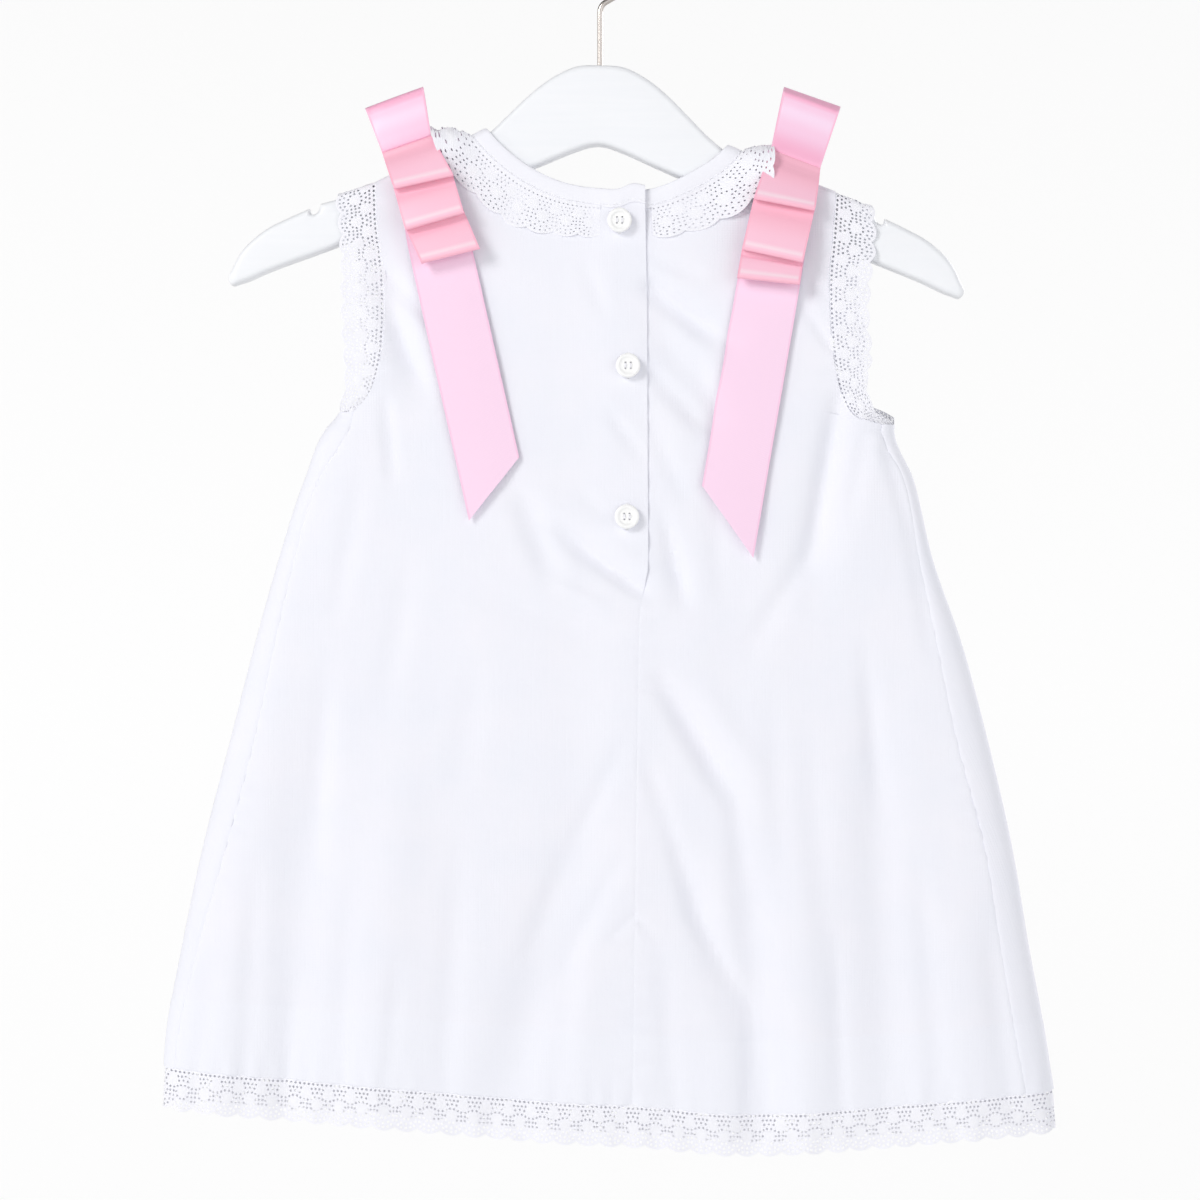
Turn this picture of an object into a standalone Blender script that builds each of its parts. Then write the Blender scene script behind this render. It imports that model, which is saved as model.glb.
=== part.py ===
"""A toddler dress hanging on a child's wooden hanger.

A sleeveless A-line cotton dress, buttoned at the centre back, edged with cotton lace, with a satin
bow on each shoulder. Its back faces -Y, +Z is up, and the origin is the point inside the top of the
hanger's hook that bears on a rail. Sizes are in millimetres and become metres when a mesh is made.

Every cloth piece is made on one surface, the cloth's middle, given by on_cloth(). A point there has
a layer (BACK or FRONT), a distance across and a height; past a side fold, across runs on round the
fold onto the other layer.
"""

import math
from collections import namedtuple

import bmesh
import bpy
import numpy as np
from mathutils import Matrix, Vector

MM = 0.001
BACK, FRONT = -1, 1

# Cloth
CLOTH_WALL = 1.5
BINDING_WALL = 1.8
LACE_WALL = 1.0
RIBBON_WALL = 1.0
SEAM_GAP = 0.3
SIDE_SEAM_GAP = 0.6
LACE_CLEARANCE = 0.5
RIBBON_CLEARANCE = 0.7
SIDE_SQUARENESS = 24.0
SHOULDER_RADIUS = 5.0
SHOULDER_SQUARENESS = 3.0
SHOULDER_PARTING = 0.3

# Widths of the trimmings
BINDING_WIDTH = 8.0
LACE_WIDTH = 18.0
HEM_LACE_WIDTH = 17.5
LACE_REPEAT = 9.9
LACE_STEP = LACE_REPEAT / 3
SCALLOP_DEPTH = 1.8
RUFFLE_HEIGHT = 1.3
RUFFLE_LENGTH = 14.0
RIBBON_WIDTH = 26.0

# Centre back
LAP_SHIFT = 1.35
LAP_RAMP = 13.0
LAP_EDGE_X = 19.0
UNDERLAP_EDGE_X = 6.0
PLACKET_END_Z = -275.5
PLACKET_STEP = 4.0
LAP_FADE = 16.0

# Buttons
BUTTON_RADIUS = 5.2
BUTTON_THICKNESS = 2.4
BUTTON_HOLE_RADIUS = 0.75
BUTTON_HOLE_PITCH = 2.6
BUTTON_SEGMENTS = 16

# Hanger
HANGER_THICKNESS = 10.0
HANGER_TILT = math.radians(1.0)
HANGER_EDGE_ROUND = 1.6
HANGER_TOP_Z = -61.0
NOTCH_X = 119.0
NOTCH_WIDTH = 4.4
NOTCH_DEPTH = 3.4
HOOK_WIRE_RADIUS = 1.2
HOOK_RADIUS = 17.0
HOOK_KINK_RADIUS = 5.0
HOOK_LEAVES_AT = math.radians(-60.0)
HOOK_ENDS_AT = math.radians(208.0)
HOOK_ROOT_DEPTH = 14.0
HOOK_BORE_RADIUS = 1.5

# A horizontal section of the dress: where the cloth folds at each side, where the side seams lie on
# the back, and how far the middle of each layer stands from the plane y = 0. Above the underarm the
# folds are only guides, wide of the armholes.
Section = namedtuple("Section", "z fold_left seam_left seam_right fold_right half_depth")
SECTIONS = (
    Section(-520.0, -186.5, -182.0, 181.0, 193.5, 13.2),
    Section(-500.0, -184.8, -180.2, 179.3, 191.9, 13.0),
    Section(-467.0, -182.6, -176.6, 173.5, 187.3, 12.6),
    Section(-433.0, -176.4, -168.8, 168.0, 181.0, 12.0),
    Section(-391.0, -167.6, -157.1, 161.3, 173.9, 11.2),
    Section(-345.0, -155.8, -145.0, 149.5, 163.4, 10.4),
    Section(-303.0, -145.0, -136.1, 141.0, 152.0, 9.6),
    Section(-270.0, -135.7, -128.5, 134.2, 140.5, 9.0),
    Section(-236.0, -124.7, -118.4, 127.9, 132.3, 8.3),
    Section(-212.5, -114.6, -105.0, 118.6, 124.2, 7.8),
    Section(-200.0, -119.0, -109.0, 124.0, 129.0, 7.6),
    Section(-180.0, -134.0, -124.0, 138.0, 143.0, 7.2),
    Section(-150.0, -152.0, -142.0, 154.0, 160.0, 6.6),
    Section(-60.0, -165.0, -155.0, 167.0, 173.0, 6.3),
)

# The line of the shoulder seams over the hanger, from left to right.
ShoulderPoint = namedtuple("ShoulderPoint", "x z")
SHOULDER = (
    ShoulderPoint(-135.0, -125.0),
    ShoulderPoint(-112.0, -116.0),
    ShoulderPoint(-92.8, -109.4),
    ShoulderPoint(-47.5, -88.0),
    ShoulderPoint(0.0, -56.0),
    ShoulderPoint(53.3, -95.0),
    ShoulderPoint(99.1, -114.4),
    ShoulderPoint(116.0, -120.6),
    ShoulderPoint(135.0, -128.0),
)

# The neckline, from the lapping edge round the left shoulder and the front to the underlap. turn is
# the direction of the binding's width in degrees, counted from +X towards +Z; the lace goes on from
# there by its own turn and reach, and its outer edge stands off the cloth.
NeckPoint = namedtuple("NeckPoint", "layer x z turn lace_turn lace_reach lace_stand")
NECK = (
    NeckPoint(BACK, 19.0, -112.3, 270, 270, 12.6, 0.6),
    NeckPoint(BACK, 10.5, -113.4, 270, 270, 12.6, 0.8),
    NeckPoint(BACK, -1.0, -113.2, 269, 268, 12.8, 1.0),
    NeckPoint(BACK, -16.8, -110.2, 256, 262, 15.0, 1.2),
    NeckPoint(BACK, -27.0, -105.6, 245, 250, 17.6, 1.5),
    NeckPoint(BACK, -36.0, -99.4, 233, 237, 16.0, 1.8),
    NeckPoint(BACK, -42.5, -93.6, 221, 222, 12.4, 2.0),
    NeckPoint(BACK, -47.5, -88.0, 205, 190, 12.0, 3.5),
    NeckPoint(FRONT, -43.5, -95.0, 218, 218, 13.0, 3.0),
    NeckPoint(FRONT, -35.0, -106.0, 232, 232, 16.5, 1.5),
    NeckPoint(FRONT, -20.0, -117.5, 252, 252, 16.5, 1.0),
    NeckPoint(FRONT, 2.0, -123.5, 271, 271, 16.5, 1.0),
    NeckPoint(FRONT, 25.0, -119.5, 289, 289, 16.5, 1.0),
    NeckPoint(FRONT, 40.0, -110.5, 306, 306, 16.5, 1.5),
    NeckPoint(FRONT, 49.5, -101.0, 324, 324, 13.0, 3.0),
    NeckPoint(BACK, 53.3, -95.0, 337, 352, 9.0, 3.5),
    NeckPoint(BACK, 51.4, -97.2, 330, 351, 12.0, 8.0),
    NeckPoint(BACK, 48.6, -100.0, 322, 345, 16.0, 9.0),
    NeckPoint(BACK, 42.0, -104.4, 310, 318, 17.0, 4.5),
    NeckPoint(BACK, 33.6, -108.9, 296, 300, 16.0, 2.0),
    NeckPoint(BACK, 21.0, -113.4, 275, 272, 13.0, 1.0),
    NeckPoint(BACK, 9.0, -113.6, 270, 270, 12.6, 0.8),
)
NECK_STRETCHES = ((BACK, NECK[:8]), (FRONT, NECK[7:16]), (BACK, NECK[15:]))
NECK_STEP = 7.0
NECK_LACE_STARTS_X = 1.3
NECK_LACE_ENDS_X = 20.6

# Each armhole, from the shoulder down to the side seam at the underarm. lace_turn and lace_reach
# give the direction and the width of the lace as it lies.
ArmPoint = namedtuple("ArmPoint", "x z lace_turn lace_reach")
ARMHOLES = {
    ("left", BACK): (
        ArmPoint(-92.8, -109.4, 197, 17.6),
        ArmPoint(-93.6, -129.0, 187, 16.0),
        ArmPoint(-91.2, -148.0, 180, 17.6),
        ArmPoint(-90.6, -168.0, 179, 18.0),
        ArmPoint(-92.8, -188.0, 173, 14.8),
        ArmPoint(-96.6, -200.0, 164, 9.5),
        ArmPoint(-105.0, -212.5, 130, 3.0),
    ),
    ("left", FRONT): (
        ArmPoint(-92.8, -109.4, 197, 17.6),
        ArmPoint(-89.0, -129.0, 184, 16.5),
        ArmPoint(-86.0, -150.0, 178, 16.5),
        ArmPoint(-87.0, -170.0, 166, 16.0),
        ArmPoint(-93.0, -190.0, 142, 14.0),
        ArmPoint(-101.5, -203.0, 112, 12.0),
        ArmPoint(-114.6, -212.5, 80, 8.0),
    ),
    ("right", BACK): (
        ArmPoint(99.1, -114.4, 340, 17.0),
        ArmPoint(97.6, -134.0, 350, 18.4),
        ArmPoint(96.2, -150.0, 358, 17.8),
        ArmPoint(96.6, -168.0, 360, 16.4),
        ArmPoint(98.2, -186.0, 364, 16.0),
        ArmPoint(101.6, -200.0, 382, 11.5),
        ArmPoint(107.0, -209.0, 384, 7.0),
        ArmPoint(118.6, -212.5, 400, 3.0),
    ),
    ("right", FRONT): (
        ArmPoint(99.1, -114.4, 340, 17.0),
        ArmPoint(94.5, -134.0, 352, 17.0),
        ArmPoint(92.0, -154.0, 360, 17.0),
        ArmPoint(95.0, -173.0, 368, 17.5),
        ArmPoint(102.0, -190.0, 378, 18.0),
        ArmPoint(110.5, -203.0, 392, 15.0),
        ArmPoint(124.2, -212.5, 428, 10.0),
    ),
}
UNDERARM_Z = -212.5

# The sewn edge of the hem, from left to right.
HemPoint = namedtuple("HemPoint", "x z")
HEM = (
    HemPoint(-190.0, -481.6),
    HemPoint(-153.0, -485.3),
    HemPoint(-84.0, -490.9),
    HemPoint(-15.5, -496.6),
    HemPoint(14.0, -498.0),
    HemPoint(60.0, -501.6),
    HemPoint(102.0, -499.6),
    HemPoint(158.0, -494.9),
    HemPoint(196.0, -491.8),
)
FRONT_HEM_SHORTER = 1.5
HEM_MIDDLE_Z = -492.0

# Centre back edges: the lapping edge and the underlap, which both run into the centre back seam.
EdgePoint = namedtuple("EdgePoint", "z x")
LAP_EDGE = (
    EdgePoint(-100.0, 19.0),
    EdgePoint(-120.6, 19.0),
    EdgePoint(-160.0, 19.7),
    EdgePoint(PLACKET_END_Z, 20.2),
    EdgePoint(PLACKET_END_Z - PLACKET_STEP, 15.8),
    EdgePoint(-510.0, 13.25),
)
UNDERLAP_EDGE = (
    EdgePoint(-100.0, 9.0),
    EdgePoint(-121.9, 9.0),
    EdgePoint(-160.0, UNDERLAP_EDGE_X),
    EdgePoint(PLACKET_END_Z, UNDERLAP_EDGE_X),
    EdgePoint(PLACKET_END_Z - PLACKET_STEP, 16.2),
    EdgePoint(-510.0, 13.55),
)

# Folds of the cloth: a trough of this depth (a ridge where it is negative) and half width along the
# line from the first point to the second. reach_0 and reach_1 say how much of it is left at the ends.
Fold = namedtuple("Fold", "x0 z0 x1 z1 depth half_width reach_0 reach_1")
FOLDS = {
    BACK: (
        Fold(-93.0, -139.0, -76.0, -208.0, 2.2, 7.0, 0.3, 0.0),
        Fold(-42.0, -242.0, -20.0, -286.0, 2.2, 6.5, 0.2, 0.0),
        Fold(-14.0, -246.0, 16.0, -288.0, 2.6, 6.5, 0.1, 0.2),
        Fold(21.0, -158.0, 62.0, -182.0, 1.8, 8.0, 0.2, 0.0),
        Fold(21.0, -166.0, 52.0, -218.0, 2.2, 8.0, 0.2, 0.0),
        Fold(22.0, -262.0, 28.0, -292.0, 2.0, 6.0, 0.2, 0.0),
        Fold(98.0, -190.0, 76.0, -300.0, 2.6, 10.0, 0.2, 0.0),
        Fold(20.0, -322.0, 56.0, -372.0, 3.4, 8.5, 0.1, 0.3),
        Fold(54.0, -366.0, 60.0, -500.0, 3.6, 9.5, 0.3, 0.8),
        Fold(34.0, -392.0, 50.0, -462.0, 2.4, 8.0, 0.0, 0.4),
        Fold(109.0, -322.0, 115.0, -500.0, 2.4, 12.0, 0.0, 0.7),
        Fold(0.0, -366.0, -42.0, -500.0, 2.6, 14.0, 0.0, 0.8),
        Fold(-120.0, -318.0, -132.0, -500.0, 2.6, 13.0, 0.0, 0.9),
        Fold(-84.0, -340.0, -92.0, -500.0, -2.0, 15.0, 0.0, 0.9),
        Fold(86.0, -380.0, 88.0, -510.0, -2.2, 11.0, 0.0, 0.9),
        Fold(150.0, -400.0, 156.0, -510.0, -1.8, 12.0, 0.0, 0.9),
    ),
    FRONT: (
        Fold(-96.0, -196.0, -84.0, -262.0, 2.2, 9.0, 0.2, 0.0),
        Fold(104.0, -196.0, 92.0, -262.0, 2.2, 9.0, 0.2, 0.0),
        Fold(-30.0, -250.0, -44.0, -500.0, 3.2, 14.0, 0.0, 0.9),
        Fold(38.0, -270.0, 50.0, -500.0, 3.4, 13.0, 0.0, 0.9),
        Fold(-108.0, -290.0, -126.0, -500.0, 3.0, 14.0, 0.0, 0.9),
        Fold(112.0, -300.0, 132.0, -500.0, 2.8, 13.0, 0.0, 0.9),
        Fold(2.0, -320.0, 4.0, -510.0, -2.4, 15.0, 0.0, 0.9),
        Fold(-78.0, -330.0, -86.0, -510.0, -2.4, 14.0, 0.0, 0.9),
        Fold(80.0, -330.0, 92.0, -510.0, -2.2, 14.0, 0.0, 0.9),
    ),
}

# Where a grid has its lines. Rows go from the top edge to the underarm and on to the hem; the first
# few are distances along the armhole, and follow the round of the shoulder. The others, and the
# columns, are shares.
RIDGE_STEPS = (0.15, 0.7, 2.1)
SHOULDER_ROWS = (0.0, *RIDGE_STEPS, 4.6)
ARMHOLE_ROWS = (0.17, 0.31, 0.44, 0.57, 0.69, 0.78, 0.85, 0.91, 0.955, 1.0)
SKIRT_ROWS = (0.07, 0.14, 0.20, 0.25, 0.32, 0.41, 0.50, 0.60, 0.70, 0.80, 0.90, 1.0)
BACK_SHOULDER_COLUMNS = (0.0, 0.09, 0.35, 0.66, 1.0)
FRONT_EDGE_COLUMNS = (0.0, 0.04, 0.13, 0.32, 0.6, 1.0)
WRAP_COLUMNS = (0.0, 0.1, 0.32, 0.68, 1.0)

# A bow's joints, from the top of the standing loop down: each stepped loop hangs between two of them.
# slant is the angle of the ribbon's width above the horizontal, in degrees.
BowJoint = namedtuple("BowJoint", "x z slant width")
Tail = namedtuple("Tail", "layer lean longest shortest long_side")
BOWS = {
    "left": (
        BowJoint(-87.1, -75.6, 20.0, 24.6),
        BowJoint(-81.3, -94.7, 19.0, 21.6),
        BowJoint(-72.8, -111.3, 12.0, 25.2),
        BowJoint(-68.1, -126.7, 16.6, 25.2),
        BowJoint(-62.5, -141.8, 15.2, 25.0),
    ),
    "right": (
        BowJoint(89.3, -75.5, -19.3, 24.6),
        BowJoint(81.9, -100.8, -21.0, 21.8),
        BowJoint(75.8, -119.8, -10.5, 24.0),
        BowJoint(72.9, -141.2, -13.0, 25.4),
        BowJoint(70.6, -152.0, -8.5, 25.8),
    ),
}
TAIL_RIDGE_X = {"left": -75.6, "right": 79.0}
TAILS = {
    "left": (Tail(BACK, 12.7, 150.0, 134.5, -1), Tail(FRONT, 9.0, 138.0, 124.0, 1)),
    "right": (Tail(BACK, -9.8, 160.0, 140.0, 1), Tail(FRONT, -8.0, 142.0, 127.0, -1)),
}
TAIL_STEP = 11.0
TAIL_GATHER = 0.2
TAIL_GATHER_LENGTH = 34.0

# How far a loop stands forward of the ridge of the shoulder: the share of the tail's depth that is
# left at a height above the ridge.
LoopLean = namedtuple("LoopLean", "above share")
LOOP_LEAN = (
    LoopLean(-60.0, 1.0),
    LoopLean(-9.0, 1.0),
    LoopLean(0.0, 0.82),
    LoopLean(9.0, 0.50),
    LoopLean(32.0, -0.12),
)

# The ring of a stepped loop, in its own length and its height off the tail. Each row is one point,
# a distance from the loop's upper joint plus a share of its length.
RingPoint = namedtuple("RingPoint", "start share height")
STEPPED_RING = (
    RingPoint(0.7, 0.0, 0.85),
    RingPoint(0.0, 0.35, 1.35),
    RingPoint(0.0, 0.75, 2.60),
    RingPoint(0.7, 1.0, 3.45),
    RingPoint(2.0, 1.0, 4.35),
    RingPoint(1.1, 1.0, 5.40),
    RingPoint(0.0, 0.75, 5.35),
    RingPoint(0.0, 0.45, 4.30),
    RingPoint(3.4, 0.0, 2.30),
    RingPoint(0.7, 0.0, 2.15),
)
STANDING_RING = (
    RingPoint(-0.7, 1.0, 0.85),
    RingPoint(0.0, 0.70, 0.10),
    RingPoint(0.0, 0.35, -0.60),
    RingPoint(2.6, 0.0, -0.60),
    RingPoint(0.7, 0.0, 1.00),
    RingPoint(0.7, 0.0, 2.60),
    RingPoint(2.4, 0.0, 4.10),
    RingPoint(0.0, 0.35, 3.70),
    RingPoint(0.0, 0.70, 2.80),
    RingPoint(-0.7, 1.0, 2.15),
)

# The hanger's outline in its own frame, from the middle of its top: half of it, as it is symmetrical.
OutlinePoint = namedtuple("OutlinePoint", "x z")
HANGER_TOP = (
    OutlinePoint(0.0, 0.0),
    OutlinePoint(10.0, -0.8),
    OutlinePoint(19.5, -5.3),
    OutlinePoint(29.0, -12.6),
    OutlinePoint(38.0, -21.4),
    OutlinePoint(46.0, -29.3),
    OutlinePoint(55.0, -36.4),
    OutlinePoint(66.0, -41.6),
    OutlinePoint(88.0, -50.4),
    OutlinePoint(111.3, -59.0),
    OutlinePoint(NOTCH_X - NOTCH_WIDTH / 2, -60.6),
)
HANGER_END = (
    OutlinePoint(NOTCH_X + NOTCH_WIDTH / 2, -62.6),
    OutlinePoint(131.0, -67.2),
    OutlinePoint(138.0, -70.8),
    OutlinePoint(144.6, -75.8),
    OutlinePoint(149.8, -81.4),
    OutlinePoint(153.2, -88.0),
    OutlinePoint(155.0, -93.6),
    OutlinePoint(153.6, -95.4),
)
HANGER_UNDER = (
    OutlinePoint(150.0, -94.6),
    OutlinePoint(137.8, -89.4),
    OutlinePoint(110.0, -78.6),
    OutlinePoint(70.0, -61.8),
    OutlinePoint(24.0, -42.5),
    OutlinePoint(8.4, -35.9),
    OutlinePoint(3.6, -34.3),
    OutlinePoint(0.0, -33.8),
)


def clear_scene():
    for thing in list(bpy.data.objects):
        bpy.data.objects.remove(thing, do_unlink=True)


def material(name, colour, roughness, metallic=0.0):
    made = bpy.data.materials.new(name)
    made.use_nodes = True
    shader = made.node_tree.nodes["Principled BSDF"]
    shader.inputs["Base Color"].default_value = (*colour, 1.0)
    shader.inputs["Roughness"].default_value = roughness
    shader.inputs["Metallic"].default_value = metallic
    return made


Reading = namedtuple("Reading", "run value")


def through(rows, key, value, at):
    """The smooth curve of one column of a table against another, read at one or many places."""
    known = np.array([getattr(row, key) for row in rows], float)
    wanted = np.array([getattr(row, value) for row in rows], float)
    slope = np.gradient(wanted, known)
    at = np.clip(np.asarray(at, float), known[0], known[-1])
    low = np.clip(np.searchsorted(known, at) - 1, 0, len(known) - 2)
    step = known[low + 1] - known[low]
    t = (at - known[low]) / step
    start = (1 + 2 * t) * (1 - t) ** 2 * wanted[low] + t * (1 - t) ** 2 * step * slope[low]
    end = t * t * (3 - 2 * t) * wanted[low + 1] + t * t * (t - 1) * step * slope[low + 1]
    return start + end


def straight(rows, key, value, at):
    """The straight-sided line of one column of a table against another."""
    known = [getattr(row, key) for row in rows]
    wanted = [getattr(row, value) for row in rows]
    return np.interp(at, known, wanted)


def smoothstep(low, high, at):
    t = np.clip((np.asarray(at, float) - low) / (high - low), 0.0, 1.0)
    return t * t * (3 - 2 * t)


def section(column, z):
    return through(SECTIONS, "z", column, z)


def below_shoulder(x, z):
    """How far a point lies under the shoulder line, square to it."""
    step = 0.5
    rise = straight(SHOULDER, "x", "z", x + step) - straight(SHOULDER, "x", "z", x - step)
    slope = rise / (2 * step)
    return (straight(SHOULDER, "x", "z", x) - z) / np.sqrt(1 + slope**2)


def shoulder_round(x, z, least=0.0):
    """The share of the depth that is left near the shoulder line: 0 on it, 1 a radius below."""
    t = np.clip(below_shoulder(x, z) / SHOULDER_RADIUS, 0.0, 1.0)
    return np.maximum((1 - (1 - t) ** SHOULDER_SQUARENESS) ** (1 / SHOULDER_SQUARENESS), least)


def fold_depth(side, x, z):
    """How far the folds press a layer inwards at a place."""
    total = np.zeros(np.broadcast(x, z).shape)
    for fold in FOLDS[side]:
        along_x, along_z = fold.x1 - fold.x0, fold.z1 - fold.z0
        length = math.hypot(along_x, along_z)
        t = ((x - fold.x0) * along_x + (z - fold.z0) * along_z) / length**2
        off = ((x - fold.x0) * along_z - (z - fold.z0) * along_x) / length / fold.half_width
        inside = np.clip(t, 0.0, 1.0)
        swell = np.sin(math.pi * inside) + (1 - inside) ** 2 * fold.reach_0 + inside**2 * fold.reach_1
        beyond = (t - inside) * length / fold.half_width
        profile = (1 - 0.55 * off**2) * np.exp(-0.8 * off**2) * np.exp(-(beyond**2))
        total = total + fold.depth * np.minimum(swell, 1.0) * profile
    return total


def on_cloth(layer, across, z, least_round=0.0):
    """Points on the middle of the cloth, as an array of x, y, z."""
    across, z = np.broadcast_arrays(np.asarray(across, float), np.asarray(z, float))
    left, right = section("fold_left", z), section("fold_right", z)
    x = np.where(across < left, 2 * left - across, np.where(across > right, 2 * right - across, across))
    layer = np.broadcast_to(layer, x.shape)
    side = np.where((across < left) | (across > right), -layer, layer)
    share = np.clip(np.abs(x - (left + right) / 2) / ((right - left) / 2), 0.0, 1.0)
    closing = np.sqrt(1 - share**SIDE_SQUARENESS)
    pressed = np.where(side == BACK, fold_depth(BACK, x, z), fold_depth(FRONT, x, z))
    depth = (section("half_depth", z) - pressed * closing) * closing * shoulder_round(x, z, least_round)
    return np.stack([x, side * depth, z], axis=-1)


def grid_normals(points):
    """The unit normals of a grid of points, on its first turning side."""
    down = np.gradient(points, axis=0)
    along = np.gradient(points, axis=1)
    normals = np.cross(along, down)
    return normals / np.linalg.norm(normals, axis=-1, keepdims=True)


def moved_out(points, outward, distance):
    """A grid moved off its surface, to the side that outward says (a sign along its normals)."""
    return points + grid_normals(points) * outward * np.asarray(distance)[..., None]


def grid_faces(rows, columns, first=0, round_rows=False):
    faces = []
    for i in range(rows if round_rows else rows - 1):
        for j in range(columns - 1):
            near, far = first + i * columns + j, first + (i + 1) % rows * columns + j
            faces.append((near, near + 1, far + 1, far))
    return faces


def add_object(name, mesh, finish):
    made = bpy.data.objects.new(name, mesh)
    bpy.context.scene.collection.objects.link(made)
    mesh.materials.append(finish)
    mesh.shade_smooth()
    mesh.set_sharp_from_angle(angle=math.radians(45))
    return made


def cloth_object(name, grids, wall, finish, round_rows=False):
    """A wall of even thickness on one or more grids that share an edge."""
    points, faces = [], []
    for grid in grids:
        rows, columns = grid.shape[:2]
        faces += grid_faces(rows, columns, len(points), round_rows)
        points += [tuple(point) for point in grid.reshape(-1, 3) * MM]
    mesh = bpy.data.meshes.new(name)
    mesh.from_pydata(points, [], faces)
    editable = bmesh.new()
    editable.from_mesh(mesh)
    bmesh.ops.remove_doubles(editable, verts=editable.verts, dist=1e-6)
    bmesh.ops.recalc_face_normals(editable, faces=editable.faces)
    editable.to_mesh(mesh)
    editable.free()
    made = add_object(name, mesh, finish)
    solidify = made.modifiers.new("wall", "SOLIDIFY")
    solidify.thickness = wall * MM
    solidify.offset = 0.0
    return made


def coons(top, bottom, left, right):
    """A grid between four curves of (x, z) that meet at its corners."""
    s = ((top[:, 0] - top[0, 0]) / (top[-1, 0] - top[0, 0]))[None, :, None]
    t = ((left[:, 1] - left[0, 1]) / (left[-1, 1] - left[0, 1]))[:, None, None]
    between_ends = (1 - t) * top[None] + t * bottom[None] + (1 - s) * left[:, None] + s * right[:, None]
    corners = (1 - s) * (1 - t) * top[0] + s * (1 - t) * top[-1] + (1 - s) * t * bottom[0] + s * t * bottom[-1]
    return between_ends - corners


def run_of(rows):
    """The distance along a table of points, at each point."""
    x = np.array([row.x for row in rows], float)
    z = np.array([row.z for row in rows], float)
    return np.concatenate([[0.0], np.cumsum(np.hypot(np.diff(x), np.diff(z)))])


def read_path(rows, columns, at):
    """The columns of a table of points, read at distances along it."""
    found = {}
    for column in columns:
        readings = [Reading(run, getattr(row, column)) for run, row in zip(run_of(rows), rows)]
        found[column] = through(readings, "run", "value", at)
    return found


def even_steps(rows, step, ridge_first=False, ridge_last=False):
    """Distances along a table of points, closer where an end lies on the ridge of the shoulder."""
    length = run_of(rows)[-1]
    at = np.linspace(0.0, length, max(2, round(length / step) + 1))
    close = [*RIDGE_STEPS] * ridge_first + [length - near for near in RIDGE_STEPS] * ridge_last
    return np.array(sorted([*at, *close]))


def hem_z(x, layer=BACK):
    """The hem's height. The front is a little shorter, away from the sides."""
    sides = smoothstep(HEM[0].x + 8.0, HEM[0].x + 60.0, x) * smoothstep(HEM[-1].x - 8.0, HEM[-1].x - 60.0, x)
    return through(HEM, "x", "z", x) + (FRONT_HEM_SHORTER * sides if layer == FRONT else 0.0)


def side_curve(side, layer, hem_height):
    """The panel's edge down an armhole and on along the seam (on the back) or the fold (at the front)."""
    armhole = ARMHOLES[side, layer]
    length = run_of(armhole)[-1]
    first = SHOULDER_ROWS[-1]
    at = [*SHOULDER_ROWS] + [first + share * (length - first) for share in ARMHOLE_ROWS]
    upper = read_path(armhole, ("x", "z"), at)
    skirt_z = UNDERARM_Z + np.array(SKIRT_ROWS) * (hem_height - UNDERARM_Z)
    column = ("seam_" if layer == BACK else "fold_") + side
    clearance = 0.0 if layer == FRONT else SIDE_SEAM_GAP / 2 * (1 if side == "left" else -1)
    x = np.concatenate([upper["x"], section(column, skirt_z) + clearance])
    return np.stack([x, np.concatenate([upper["z"], skirt_z])], axis=-1)


def binding_edge(stretch):
    """The panels' edge below one stretch of the neck binding, as an array of x, z."""
    layer, rows = NECK_STRETCHES[stretch]
    at = even_steps(rows, NECK_STEP, ridge_first=stretch > 0, ridge_last=stretch < 2)
    found = read_path(rows, ("x", "z", "turn"), at)
    turn = np.radians(found["turn"])
    reach = BINDING_WIDTH + SEAM_GAP
    return np.stack([found["x"] + reach * np.cos(turn), found["z"] + reach * np.sin(turn)], axis=-1)


def shoulder_edge(start_x, end_x, shares):
    """A panel's edge along the shoulder line, as an array of x, z."""
    x = start_x + np.asarray(shares) * (end_x - start_x)
    return np.stack([x, straight(SHOULDER, "x", "z", x)], axis=-1)


def centre_edge(table, top, bottom, shares):
    """A centre back edge, with two of its points on the step where the placket ends."""
    even = top[1] + shares * (bottom[1] - top[1])
    at = int(np.argmin(np.abs(even - PLACKET_END_Z)))
    known = (0.0, shares[at], shares[at + 1], 1.0)
    z = np.interp(shares, known, (top[1], PLACKET_END_Z, PLACKET_END_Z - PLACKET_STEP, bottom[1]))
    edge = np.stack([straight(table[::-1], "z", "x", z), z], axis=-1)
    edge[0], edge[-1] = top, bottom
    return edge


def lap_shift(layer_sign, points, edge_near, edge_far):
    """Moves the centre back edges apart, so that the lapping one lies over the other."""
    x, z = points[..., 0], points[..., 2]
    near = smoothstep(edge_far, edge_near, x)
    fade = smoothstep(PLACKET_END_Z - PLACKET_STEP - LAP_FADE, PLACKET_END_Z - PLACKET_STEP, z)
    shifted = points.copy()
    shifted[..., 1] -= layer_sign * LAP_SHIFT * near * fade
    return shifted


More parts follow.
